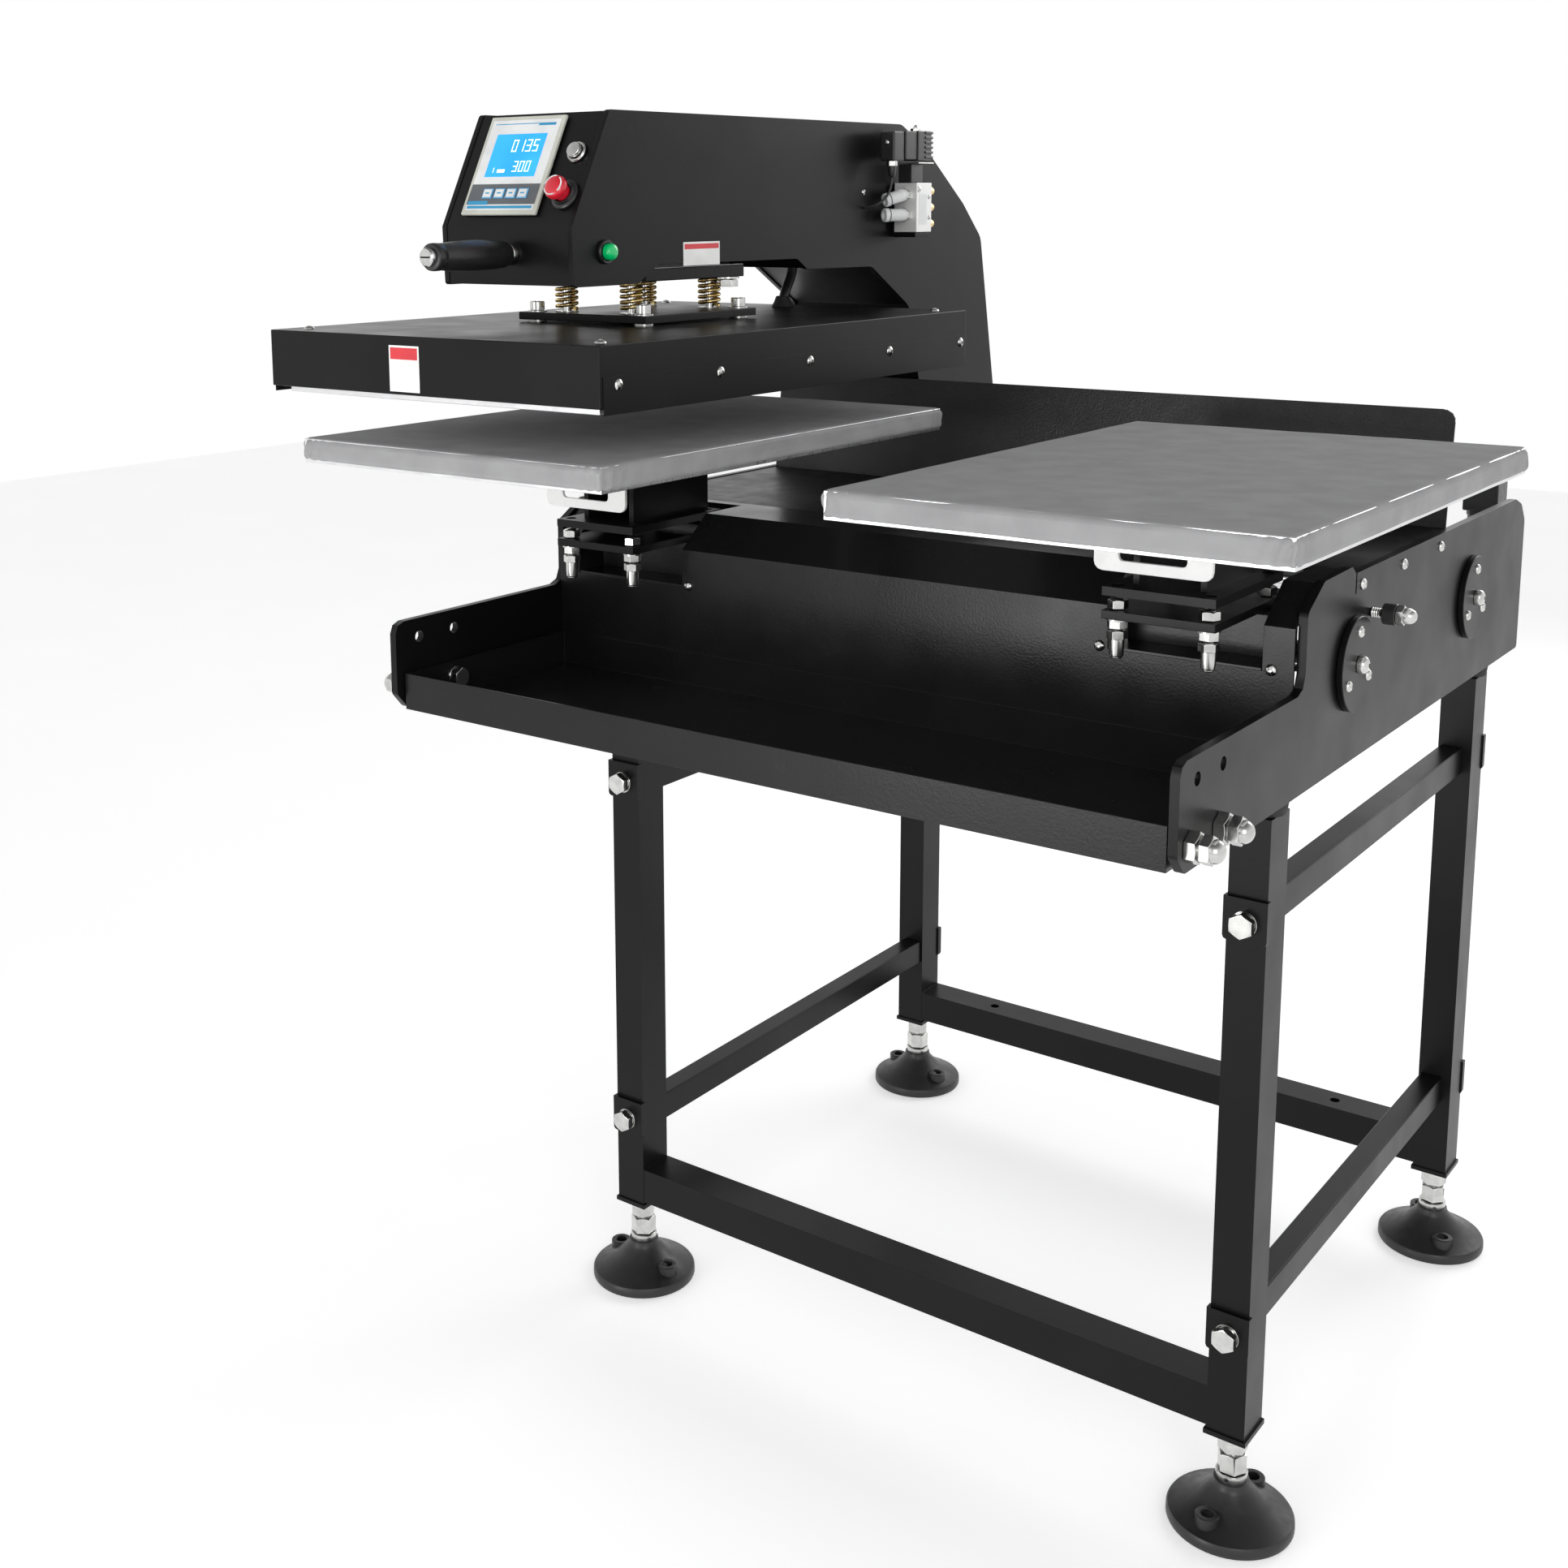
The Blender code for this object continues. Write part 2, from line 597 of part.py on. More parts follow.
def release_handle(name, station):
    """Pull handle with a finger slot, on a tongue that slides forward out of the saddle."""
    y = -0.108
    corners = [(station - 0.054, 0.953, 0.008), (station + 0.054, 0.953, 0.008), (station + 0.054, 0.994, 0.003),
               (station - 0.054, 0.994, 0.003)]
    loop = prism(rounded(corners, 3), "Y", y, y + 0.004)
    slot = [(station - 0.031, 0.963, 0.004), (station + 0.031, 0.963, 0.004), (station + 0.031, 0.983, 0.004),
            (station - 0.031, 0.983, 0.004)]
    loop = cut(loop, prism(rounded(slot, 2), "Y", y - 0.01, y + 0.02))
    tongue = block(station - 0.025, station + 0.025, y + 0.002, 0.050, 0.989, 0.994)
    part(name, weld(loop, tongue), white_plastic(), pivot=(station, y, 0.973))


def platen_slab(station, inset, z0, z1):
    """A rectangle of the platen's size, less an inset all round."""
    return block(station - LOWER_X + inset, station + LOWER_X - inset, STATION_Y - LOWER_Y + inset,
                 STATION_Y + LOWER_Y - inset, z0, z1)


def lower_platen(side, station):
    """Board with its bonded pad, inside the fabric cover that is drawn over it."""
    board = platen_slab(station, 0.003, LOWER_Z0, LOWER_Z1 - 0.0023)
    corners = [(station - LOWER_X, STATION_Y - LOWER_Y, 0.010), (station + LOWER_X, STATION_Y - LOWER_Y, 0.010),
               (station + LOWER_X, STATION_Y + LOWER_Y, 0.010), (station - LOWER_X, STATION_Y + LOWER_Y, 0.010)]
    cover = prism(rounded(corners, 3), "Z", LOWER_Z0, LOWER_Z1)
    inside = platen_slab(station, 0.0027, LOWER_Z0 - 0.01, LOWER_Z1 - 0.002)
    part(f"platen_board_{side}", board, aluminium())
    part(f"platen_cover_{side}", cut(cover, inside), material("grey_fabric", (0.42, 0.42, 0.43), 0.9, 0.0))


# ---- travelling head ----------------------------------------------------------------------------
def carriage():
    """Plate with four bearing blocks that run on the two guide shafts."""
    origin = (ARM_X, SHAFT_YS[1], SHAFT_Z)
    body = block(ARM_X - 0.092, ARM_X + 0.092, 0.055, 0.645, 0.872, 0.888)
    y, z = STOP_PLACE
    body = weld(body, block(ARM_X - 0.092, ARM_X + 0.092, y - 0.012, y + 0.012, 0.886, z + 0.009))
    for y in SHAFT_YS:
        for dx in (-0.062, 0.062):
            lump = block(ARM_X + dx - 0.030, ARM_X + dx + 0.030, y - 0.030, y + 0.030, 0.828, 0.875)
            body = weld(body, lump)
        body = cut(body, rod("X", (y, SHAFT_Z), SHAFT_RADIUS + 0.0006, ARM_X - 0.12, ARM_X + 0.12, 20))
    part("carriage", body, material("cast_block", (0.25, 0.25, 0.26), 0.5, 1.0), pivot=origin)


def arm_outline():
    """Side view of the arm and its column, leaning back a little towards the carriage."""
    return rounded([
        (-0.218, ARM_FLOOR - 0.001, 0.003), (-0.121, ARM_FLOOR - 0.001, 0), (-0.088, 1.2070, 0.004),
        (0.158, 1.2060, 0.010), (0.178, 1.1940, 0.008), (0.312, 1.1930, 0.020), (0.398, 1.1430, 0.020),
        (0.421, 1.0590, 0.020), (0.466, 0.8885, 0), (0.6405, 0.8885, 0), (0.610, 1.0350, 0), (0.5715, 1.2220, 0.020),
        (0.5255, 1.2645, 0.030), (0.4290, 1.3335, 0.030), (0.376, ARM_CEILING, 0.020), (*PANEL_HEAD, 0.004),
        (*PANEL_FOOT, 0.003)])


def arm_housing():
    """The arm and its column: two side plates with folded sheets between them, and a foot."""
    pivot = (ARM_X, SHAFT_YS[1], SHAFT_Z)
    inner = ARM_HALF - ARM_PLATE + 0.001
    outline = arm_outline()
    left = prism(outline, "X", ARM_X - ARM_HALF, ARM_X - ARM_HALF + ARM_PLATE)
    right = prism(outline, "X", ARM_X + ARM_HALF - ARM_PLATE, ARM_X + ARM_HALF)
    back = [(-0.155, ARM_CEILING - 0.001), (0.375, ARM_CEILING - 0.001), (0.4280, 1.3320), (0.5245, 1.2630),
            (0.5700, 1.2210), (0.6090, 1.0340), (0.6395, 0.8895)]
    shell = prism(sheet(back[::-1], 0.0025), "X", ARM_X - inner, ARM_X + inner)
    belly = [(0.090, 1.2075), (0.159, 1.2072), (0.179, 1.1952), (0.313, 1.1942), (0.399, 1.1442), (0.422, 1.0595),
             (0.467, 0.8895)]
    web = prism(sheet(belly, 0.0025), "X", ARM_X - inner, ARM_X + inner)
    foot = block(ARM_X - inner, ARM_X + inner, 0.468, 0.6385, 0.8885, 0.8935)
    whole = weld(left, right, shell, web, foot)
    y, z = START_BUTTON
    for sign, axis in ((-1, "-X"), (1, "X")):
        face = ARM_X + sign * (ARM_HALF - 0.001)
        ring = turned([(0.0105, 0.0), (0.0105, 0.005)], (face, y, z), axis, 16)
        ring = cut(ring, rod("X", (y, z), 0.0087, face + sign * 0.002, face + sign * 0.02, 12))
        whole = weld(whole, ring)
    part("arm_housing", whole, black_paint(), pivot=pivot)


def panel_frame(across, down, out=0.0):
    """A point on the sloping panel: across from its left end, down from its top edge, and out of it."""
    head = Vector((0, *PANEL_HEAD))
    slope = (Vector((0, *PANEL_FOOT)) - head).normalized()
    normal = Vector((0, slope.z, -slope.y))
    spot = head + slope * down + normal * out
    spot.x = ARM_X - ARM_HALF + across
    return spot, slope, normal


def on_panel(shape, across, down, out):
    """Stand a shape made along +Z on the sloping panel."""
    spot, slope, normal = panel_frame(across, down, out)
    turn = Matrix((Vector((1, 0, 0)), -slope, normal)).transposed().to_4x4()
    shape.data.transform(Matrix.Translation(spot) @ turn)
    return shape


def control_panel():
    """The folded front of the arm, with the emergency stop's base, the power button's ring and the grip's stud."""
    inner = ARM_HALF - ARM_PLATE - GAP
    face = [(-0.1575, ARM_CEILING - 0.0012), (-0.1615, ARM_CEILING - 0.0012), (PANEL_FOOT[0] + 0.0008, PANEL_FOOT[1]),
            (-0.2170, ARM_FLOOR), (-0.1235, ARM_FLOOR)]
    panel = prism(sheet(face, 0.0025), "X", ARM_X - inner, ARM_X + inner)
    base = turned([(0.0135, -0.0015), (0.0135, 0.006)], (0, 0, 0), sides=16)
    base = cut(base, rod("Z", (0, 0), 0.0092, 0.0008, 0.01, 12))
    ring = turned([(0.0105, -0.0015), (0.0105, 0.003)], (0, 0, 0), sides=16)
    ring = cut(ring, rod("Z", (0, 0), 0.0077, 0.0008, 0.01, 12))
    stud = turned([(0.010, -0.002), (0.010, 0.006), (0.0045, 0.0061), (0.0045, 0.1105), (0.0080, 0.1106),
                   (0.0080, 0.1160)], (GRIP_X, GRIP_FACE, GRIP_Z), "-Y", 12)
    whole = weld(panel, on_panel(base, *ESTOP_SPOT, 0.0), on_panel(ring, *POWER_SPOT, 0.0), stud)
    part("control_panel", whole, black_paint(), pivot=(ARM_X, SHAFT_YS[1], SHAFT_Z))


def controller():
    """Bezel of the temperature and time controller, with the sunk window of its display."""
    edge = [(-0.0495, -0.054, 0.003), (0.0495, -0.054, 0.003), (0.0495, 0.054, 0.003), (-0.0495, 0.054, 0.003)]
    bezel = prism(rounded(edge, 2), "Z", 0.0, 0.004)
    bezel = cut(bezel, block(-0.038, 0.038, -0.018, 0.036, 0.003, 0.01))
    pivot = (ARM_X, SHAFT_YS[1], SHAFT_Z)
    part("controller", on_panel(bezel, 0.0743, 0.060, 0.0008), white_plastic(), pivot=pivot)


def cylinder():
    """Air cylinder inside the arm; its rod is part of the press bar."""
    centre = (ARM_X, STATION_Y, 0)
    body = turned([(0.050, 1.222), (0.050, 1.334)], centre, sides=20)
    flange = block(ARM_X - 0.079, ARM_X + 0.079, STATION_Y - 0.075, STATION_Y + 0.075, 1.212, 1.2245)
    body = weld(body, flange)
    bore = rod("Z", centre[:2], 0.0130, 1.20, 1.318, 12)
    pivot = (ARM_X, SHAFT_YS[1], SHAFT_Z)
    part("air_cylinder", cut(body, bore), aluminium(), pivot=pivot, smooth=True)


def valve():
    """Solenoid valve on the right side of the arm: body, coil, plug, air fittings and silencers."""
    face = ARM_X + ARM_HALF
    y, z = VALVE_Y, VALVE_Z
    whole = block(face + 0.0135, face + 0.0365, y - 0.0205, y + 0.0205, z - 0.0285, z + 0.0285)
    foot = block(face + GAP, face + 0.016, y - 0.016, y + 0.016, z - 0.035, z + 0.022)
    neck = block(face + 0.012, face + 0.026, y - 0.018, y + 0.012, z + 0.027, z + 0.055)
    coil = block(face + 0.010, face + 0.038, y - 0.013, y + 0.022, z + 0.0535, z + 0.0885)
    plug = block(face + 0.013, face + 0.035, y - 0.065, y - 0.012, z + 0.0545, z + 0.0880)
    gland = rod("Z", (face + 0.026, y - 0.056), 0.005, z + 0.0340, z + 0.056, 10)
    whole = weld(whole, foot, neck, coil, plug, gland)
    for dz in (-0.0085, 0.0145):
        stem = rod("Y", (face + 0.026, z + dz), 0.0060, y - 0.034, y - 0.019, 10)
        port = rod("X", (y - 0.031, z + dz), 0.0070, face + 0.003, face + 0.033, 12)
        whole = weld(whole, stem, port)
    for dz in (-0.019, 0.0, 0.019):
        whole = weld(whole, rod("Y", (face + 0.025, z + dz), 0.0055, y + 0.019, y + 0.030, 10))
    part("solenoid_valve", whole, aluminium(), pivot=(ARM_X, SHAFT_YS[1], SHAFT_Z))


def tube(name, points, radius, look, pivot=(0.0, 0.0, 0.0), sides=2):
    """A cable as a curve through a smooth line of points."""
    curve = bpy.data.curves.new(name, "CURVE")
    curve.dimensions = "3D"
    curve.bevel_depth = radius
    curve.bevel_resolution = sides
    curve.use_fill_caps = True
    spline = curve.splines.new("POLY")
    spline.points.add(len(points) - 1)
    for slot, point in zip(spline.points, points):
        slot.co = (*(Vector(point) - Vector(pivot)), 1.0)
    obj = bpy.data.objects.new(name, curve)
    bpy.context.scene.collection.objects.link(obj)
    obj.data.materials.append(look)
    obj.location = pivot
    obj.parent = bpy.data.objects["machine"]
    return obj


def smooth_line(route, count):
    """Evenly spread points on a Catmull-Rom line through the route."""
    points = [Vector(p) for p in route]
    ends = [2 * points[0] - points[1]] + points + [2 * points[-1] - points[-2]]
    spans = len(points) - 1
    line = []
    for k in range(count):
        place = min(k * spans / (count - 1), spans - 1e-9)
        i = int(place)
        t = place - i
        a, b, c, d = ends[i:i + 4]
        line.append(0.5 * (2 * b + (c - a) * t + (2 * a - 5 * b + 4 * c - d) * t ** 2
                           + (3 * b - a - 3 * c + d) * t ** 3))
    return line


def valve_lead():
    """The valve's lead, from the plug's gland down into the arm plate."""
    face = ARM_X + ARM_HALF
    y, z = VALVE_Y - 0.056, VALVE_Z
    route = [(face + 0.026, y, z + 0.0337), (face + 0.0258, y - 0.002, z + 0.022), (face + 0.022, y - 0.009, z + 0.010),
             (face + 0.013, y - 0.0165, z + 0.0015), (face + 0.0008, y - 0.0185, z)]
    look = black_plastic()
    tube("valve_lead", smooth_line(route, 11), 0.0015, look, (ARM_X, SHAFT_YS[1], SHAFT_Z))


# ---- controls -----------------------------------------------------------------------------------
def emergency_stop():
    """Mushroom push button on its round base."""
    head = turned([(0.0083, 0.0), (0.0083, 0.007), (0.0115, 0.008), (0.0120, 0.014), (0.0085, 0.0175)], (0, 0, 0),
                  sides=16)
    lift = 0.0008 + ESTOP_TRAVEL + GAP
    red = material("red_plastic", (0.65, 0.01, 0.02), 0.35, 0.0)
    part("estop_button", on_panel(head, *ESTOP_SPOT, lift), red, pivot=panel_frame(*ESTOP_SPOT, lift)[0], smooth=True)


def push_buttons():
    """The power button on the panel and a start button on each side of the arm."""
    cap = turned([(0.0070, 0.0), (0.0070, 0.0045)], (0, 0, 0), sides=16)
    lift = 0.0008 + BUTTON_TRAVEL + GAP
    part("power_button", on_panel(cap, *POWER_SPOT, lift), zinc(), pivot=panel_frame(*POWER_SPOT, lift)[0],
         smooth=True)
    green = material("green_lens", (0.0, 0.55, 0.12), 0.25, 0.0)
    y, z = START_BUTTON
    for side, sign, axis in (("left", -1, "-X"), ("right", 1, "X")):
        spot = (ARM_X + sign * (ARM_HALF + 0.001 + BUTTON_TRAVEL + GAP), y, z)
        lens = turned([(0.0080, 0.0), (0.0080, 0.0055), (0.0050, 0.0088)], spot, axis, 16)
        part(f"start_button_{side}", lens, green, pivot=spot, smooth=True)


def grip():
    """Grip for shuttling the head, turning freely on its stud."""
    body = turned([(0.0110, 0.0070), (0.0125, 0.0090), (0.0150, 0.0400), (0.0148, 0.0650), (0.0130, 0.0980),
                   (0.0125, 0.1100)], (GRIP_X, GRIP_FACE, GRIP_Z), "-Y", 20)
    bore = rod("Y", (GRIP_X, GRIP_Z), 0.0054, GRIP_FACE - 0.13, GRIP_FACE + 0.01, 10)
    part("handle_grip", cut(body, bore), black_plastic(), pivot=(GRIP_X, GRIP_FACE, GRIP_Z), smooth=True)


# ---- press head ---------------------------------------------------------------------------------
SPRING_X = 0.044
SPRING_Y = 0.066
BOLT_X = 0.072
BOLT_Y = 0.081
MOUNT_Z0 = COVER_Z1 + 0.0023
MOUNT_Z1 = MOUNT_Z0 + 0.008
BAR_Z0 = 1.1900
BAR_Z1 = 1.2030


def four(dx, dy):
    """The four places around the head's centre."""
    for sx in (-1, 1):
        for sy in (-1, 1):
            yield ARM_X + sx * dx, STATION_Y + sy * dy


def head_pivot():
    return ARM_X, STATION_Y, HEAT_BOTTOM


def press_bar():
    """The bar on the end of the cylinder's rod."""
    bar = block(ARM_X - 0.078, ARM_X + 0.078, STATION_Y - 0.084, STATION_Y + 0.084, BAR_Z0, BAR_Z1)
    bar = weld(bar, rod("Z", (ARM_X, STATION_Y), 0.012, BAR_Z1 - 0.002, 1.312, 12))
    for x, y in four(SPRING_X, SPRING_Y):
        bar = weld(bar, rod("Z", (x, y), 0.0050, MOUNT_Z1 + GAP, BAR_Z0 + 0.002, 8))
        bar = weld(bar, hexagon("Z", (x, y), 0.013, BAR_Z1 - 0.001, BAR_Z1 + 0.0035, 0.3))
    part("press_bar", bar, black_paint(), pivot=head_pivot())


def spring(x, y):
    """A coil spring with closed ends, as one swept tube."""
    low, high = MOUNT_Z1 + GAP, BAR_Z0 - GAP
    wire = 0.0019
    radius = 0.0105
    turns = 4.5
    steps = 9
    sides = 5

    def build(bm):
        rings = []
        total = int(turns * steps)
        for k in range(total + 1):
            angle = 2 * math.pi * k / steps
            height = low + wire + (high - low - 2 * wire) * k / total
            out = Vector((math.cos(angle), math.sin(angle), 0))
            centre = Vector((x, y, height)) + out * radius
            ring = []
            for s in range(sides):
                tilt = 2 * math.pi * s / sides
                ring.append(bm.verts.new(centre + out * wire * math.cos(tilt) + Vector((0, 0, wire * math.sin(tilt)))))
            rings.append(ring)
        for low_ring, high_ring in zip(rings, rings[1:]):
            for s in range(sides):
                t = (s + 1) % sides
                bm.faces.new((low_ring[s], low_ring[t], high_ring[t], high_ring[s]))
        bm.faces.new(rings[0][::-1])
        bm.faces.new(rings[-1])

    return raw(mesh_from(build))


def springs():
    look = material("yellow_zinc", (0.75, 0.55, 0.22), 0.3, 1.0)
    names = ("front_left", "rear_left", "front_right", "rear_right")
    for name, (x, y) in zip(names, four(SPRING_X, SPRING_Y)):
        part(f"head_spring_{name}", spring(x, y), look, pivot=head_pivot(), smooth=True)


def mount_plate():
    """Plate under the springs, bolted to the heat platen's cover with a spacer under each corner."""
    plate = block(ARM_X - 0.086, ARM_X + 0.086, STATION_Y - 0.095, STATION_Y + 0.095, MOUNT_Z0, MOUNT_Z1)
    for x, y in four(BOLT_X, BOLT_Y):
        plate = weld(plate, rod("Z", (x, y), 0.0095, COVER_Z1 + GAP, MOUNT_Z0 + 0.001, 10))
        plate = weld(plate, rod("Z", (x, y), 0.0068, MOUNT_Z1 - 0.001, MOUNT_Z1 + 0.0085, 10))
    part("mount_plate", plate, black_paint(), pivot=head_pivot())


def cover_screws():
    """The heat cover's screws, on its top and along its two long sides."""
    profile = [(0.0046, -0.0008), (0.0046, 0.0025)]
    for x, y in four(HEAT_X - 0.024, HEAT_Y - 0.030):
        yield turned(profile, (x, y, COVER_Z1), sides=6)
    for k in range(5):
        y = STATION_Y - HEAT_Y + 0.025 + k * 0.151
        yield turned(profile, (ARM_X + HEAT_X, y, 1.1105), "X", 6)
        yield turned(profile, (ARM_X - HEAT_X, y, 1.1105), "-X", 6)


def heat_platen():
    """Black cover over the heating plate, with its screws."""
    x0, x1 = ARM_X - HEAT_X, ARM_X + HEAT_X
    y0, y1 = STATION_Y - HEAT_Y, STATION_Y + HEAT_Y
    cover = block(x0, x1, y0, y1, COVER_Z0, COVER_Z1)
    inside = block(x0 + 0.002, x1 - 0.002, y0 + 0.002, y1 - 0.002, COVER_Z0 - 0.01, COVER_Z1 - 0.002)
    part("heat_cover", weld(cut(cover, inside), *cover_screws()), black_paint(), pivot=head_pivot())
    plate = block(ARM_X - 0.204, ARM_X + 0.204, STATION_Y - 0.308, STATION_Y + 0.308, HEAT_BOTTOM, HEAT_BOTTOM + 0.020)
    for x, y in four(BOLT_X, BOLT_Y):
        plate = weld(plate, rod("Z", (x, y), 0.007, HEAT_BOTTOM + 0.018, COVER_Z1 - 0.0023, 8))
    part("heating_plate", plate, aluminium(), pivot=head_pivot())


def conduit():
    """Heater cable from the arm down to the rear of the heat platen."""
    x = ARM_X - 0.006
    low, high = COVER_Z1 + 0.0005, 1.1945
    route = [(x, 0.262, low), (x, 0.264, low + 0.012), (x, 0.274, low + 0.026), (x, 0.282, low + 0.038),
             (x, 0.284, high - 0.001)]
    tube("heater_cable", smooth_line(route, 9), 0.0058, black_plastic(), head_pivot())


# ---- whole machine ------------------------------------------------------------------------------
def clear_scene():
    for obj in list(bpy.data.objects):
        bpy.data.objects.remove(obj)


def main():
    clear_scene()
    root = bpy.data.objects.new("machine", None)
    bpy.context.scene.collection.objects.link(root)
    root.location = (FRAME_X, FRAME_Y, 0)
    stand()
    feet()
    rubber_mounts()
    box_sides()
    tray()
    front_beam()
    top_cover()
    rear_beam()
    guide_shafts()
    travel_stops()
    air_regulator()
    for side, station in (("left", -STATION_X), ("right", STATION_X)):
        support_plate(f"support_plate_{side}", station)
        saddle(f"platen_saddle_{side}", station)
        release_handle(f"release_handle_{side}", station)
        lower_platen(side, station)
    carriage()
    arm_housing()
    control_panel()
    controller()
    cylinder()
    valve()
    valve_lead()
    emergency_stop()
    push_buttons()
    grip()
    press_bar()
    springs()
    mount_plate()
    heat_platen()
    conduit()


main()
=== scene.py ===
"""Shuttle heat press: the finished look of every piece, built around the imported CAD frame."""

import json
import math

import bpy
from mathutils import Matrix, Vector, noise


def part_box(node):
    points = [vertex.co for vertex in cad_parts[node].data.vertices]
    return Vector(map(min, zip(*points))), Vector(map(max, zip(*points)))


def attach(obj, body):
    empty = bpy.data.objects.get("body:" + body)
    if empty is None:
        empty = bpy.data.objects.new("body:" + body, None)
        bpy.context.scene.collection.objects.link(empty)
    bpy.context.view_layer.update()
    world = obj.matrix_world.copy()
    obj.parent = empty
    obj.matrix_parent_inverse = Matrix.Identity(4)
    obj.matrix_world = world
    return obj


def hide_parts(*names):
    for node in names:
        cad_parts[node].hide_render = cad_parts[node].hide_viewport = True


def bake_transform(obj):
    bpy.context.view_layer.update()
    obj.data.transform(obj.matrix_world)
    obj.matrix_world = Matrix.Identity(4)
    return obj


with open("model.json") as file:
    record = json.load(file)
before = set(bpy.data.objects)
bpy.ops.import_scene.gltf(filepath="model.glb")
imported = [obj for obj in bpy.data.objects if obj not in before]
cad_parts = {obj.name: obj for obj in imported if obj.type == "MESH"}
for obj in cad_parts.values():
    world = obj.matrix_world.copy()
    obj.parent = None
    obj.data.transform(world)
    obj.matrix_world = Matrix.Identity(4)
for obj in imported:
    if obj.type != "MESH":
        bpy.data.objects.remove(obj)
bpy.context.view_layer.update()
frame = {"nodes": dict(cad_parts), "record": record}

# ---- places, measured on the CAD pieces ------------------------------------------------------------


def middle(node):
    low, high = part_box(node)
    return (low + high) / 2


UP = Vector((0, 0, 1))
FORWARD = (0, -1, 0)
ORIGIN = (0, 0, 0)
SIDES = (("left", -1), ("right", 1))
ENDS = ("front", "rear")
LEVELS = ("lower", "upper")
CLEAR = 0.0003  # the gap between neighbouring CAD pieces

CENTRE_X = middle("front_frame").x
PLATEN_Y = middle("platen_cover_left").y
SHIFT_Y = PLATEN_Y + 0.015  # depths below are counted from this line
STATIONS = (("left", middle("platen_cover_left").x), ("right", middle("platen_cover_right").x))
BOX_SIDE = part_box("side_plate_right")[1].x - CENTRE_X
BOX_FACE = BOX_SIDE + CLEAR
SHAFT_YS = (middle("guide_shaft_front").y, middle("guide_shaft_rear").y)
SHAFT_Z = middle("guide_shaft_front").z
ARM_X = middle("air_cylinder").x
ARM_SIDE = 0.086  # half the arm's width
VALVE_Y = SHIFT_Y + 0.365
VALVE_Z = 1.2605
HOOD_TOP = 1.146
HOOD_X = 0.216  # half the heat cover's width
HOOD_Y = 0.321


# ---- tools ----------------------------------------------------------------------------------------
def only(obj):
    """Make this the one selected, active object."""
    bpy.ops.object.select_all(action="DESELECT")
    obj.select_set(True)
    bpy.context.view_layer.objects.active = obj
    return obj


def settle(obj, name=None):
    """Put an object's place into its mesh."""
    only(obj)
    bpy.ops.object.transform_apply(location=True, rotation=True, scale=True)
    if name:
        obj.name = name
    return obj


def modify(obj, kind, **settings):
    """Add one modifier and apply it."""
    only(obj)
    modifier = obj.modifiers.new(kind.lower(), kind)
    for key, value in settings.items():
        setattr(modifier, key, value)
    bpy.ops.object.modifier_apply(modifier=modifier.name)
    return obj


def soft_edges(obj, width, segments=2, angle=30):
    """Round the sharp edges a little and shade the rest smooth. A width of 0 leaves them sharp."""
    if width > 0:
        modify(obj, "BEVEL", width=width, segments=segments, limit_method="ANGLE",
               angle_limit=math.radians(angle), use_clamp_overlap=True)
    only(obj)
    bpy.ops.object.shade_smooth_by_angle(angle=math.radians(40))
    return modify(obj, "WEIGHTED_NORMAL", mode="FACE_AREA", weight=80, keep_sharp=True)


def dress(obj, finish, name=None):
    obj.data.materials.clear()
    obj.data.materials.append(finish)
    if name:
        obj.name = name
    return obj


def finished(obj, name, body, nodes=()):
    """Name a piece and hand it to the CAD body it moves with."""
    obj.name = name
    obj.data.name = name
    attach(obj, body)
    if nodes:
        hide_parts(*nodes)
    return obj


def slab(low, high, finish, edge=0.0006, segments=2):
    """A block with soft edges between two corners."""
    low, high = Vector(low), Vector(high)
    bpy.ops.mesh.primitive_cube_add(size=1, location=(low + high) / 2)
    obj = bpy.context.active_object
    obj.scale = high - low
    settle(obj)
    soft_edges(obj, edge, segments)
    return dress(obj, finish)


def along(axis):
    """The turn that takes +Z to this direction."""
    return Vector(axis).to_track_quat("Z", "Y").to_matrix().to_4x4()


def rod(centre, axis, radius, length, finish, edge=0.0004, sides=32, turn=0.0):
    """A round or many-sided bar that starts at the centre and runs along the axis."""
    bpy.ops.mesh.primitive_cylinder_add(vertices=sides, radius=radius, depth=length,
                                        location=(0, 0, length / 2), rotation=(0, 0, turn))
    obj = settle(bpy.context.active_object)
    soft_edges(obj, edge)
    obj.data.transform(Matrix.Translation(centre) @ along(axis))
    return dress(obj, finish)


def lathe(profile, centre, axis, finish, steps=40, smooth=35):
    """Spin a profile of (radius, height) about an axis."""
    mesh = bpy.data.meshes.new("turned")
    points = [(r, 0, h) for r, h in profile]
    mesh.from_pydata(points, [(i, i + 1) for i in range(len(points) - 1)], [])
    obj = bpy.data.objects.new("turned", mesh)
    bpy.context.scene.collection.objects.link(obj)
    only(obj)
    bpy.ops.object.mode_set(mode="EDIT")
    bpy.ops.mesh.select_all(action="SELECT")
    bpy.ops.mesh.spin(steps=steps, angle=2 * math.pi, center=(0, 0, 0), axis=(0, 0, 1))
    bpy.ops.mesh.select_all(action="SELECT")
    bpy.ops.mesh.remove_doubles(threshold=0.00001)
    bpy.ops.mesh.normals_make_consistent(inside=False)
    bpy.ops.object.mode_set(mode="OBJECT")
    bpy.ops.object.shade_smooth_by_angle(angle=math.radians(smooth))
    obj.data.transform(Matrix.Translation(centre) @ along(axis))
    return dress(obj, finish)


def copied(obj, matrix):
    """A copy with its own mesh, moved by a matrix."""
    new = obj.copy()
    new.data = obj.data.copy()
    bpy.context.scene.collection.objects.link(new)
    new.data.transform(matrix)
    return new


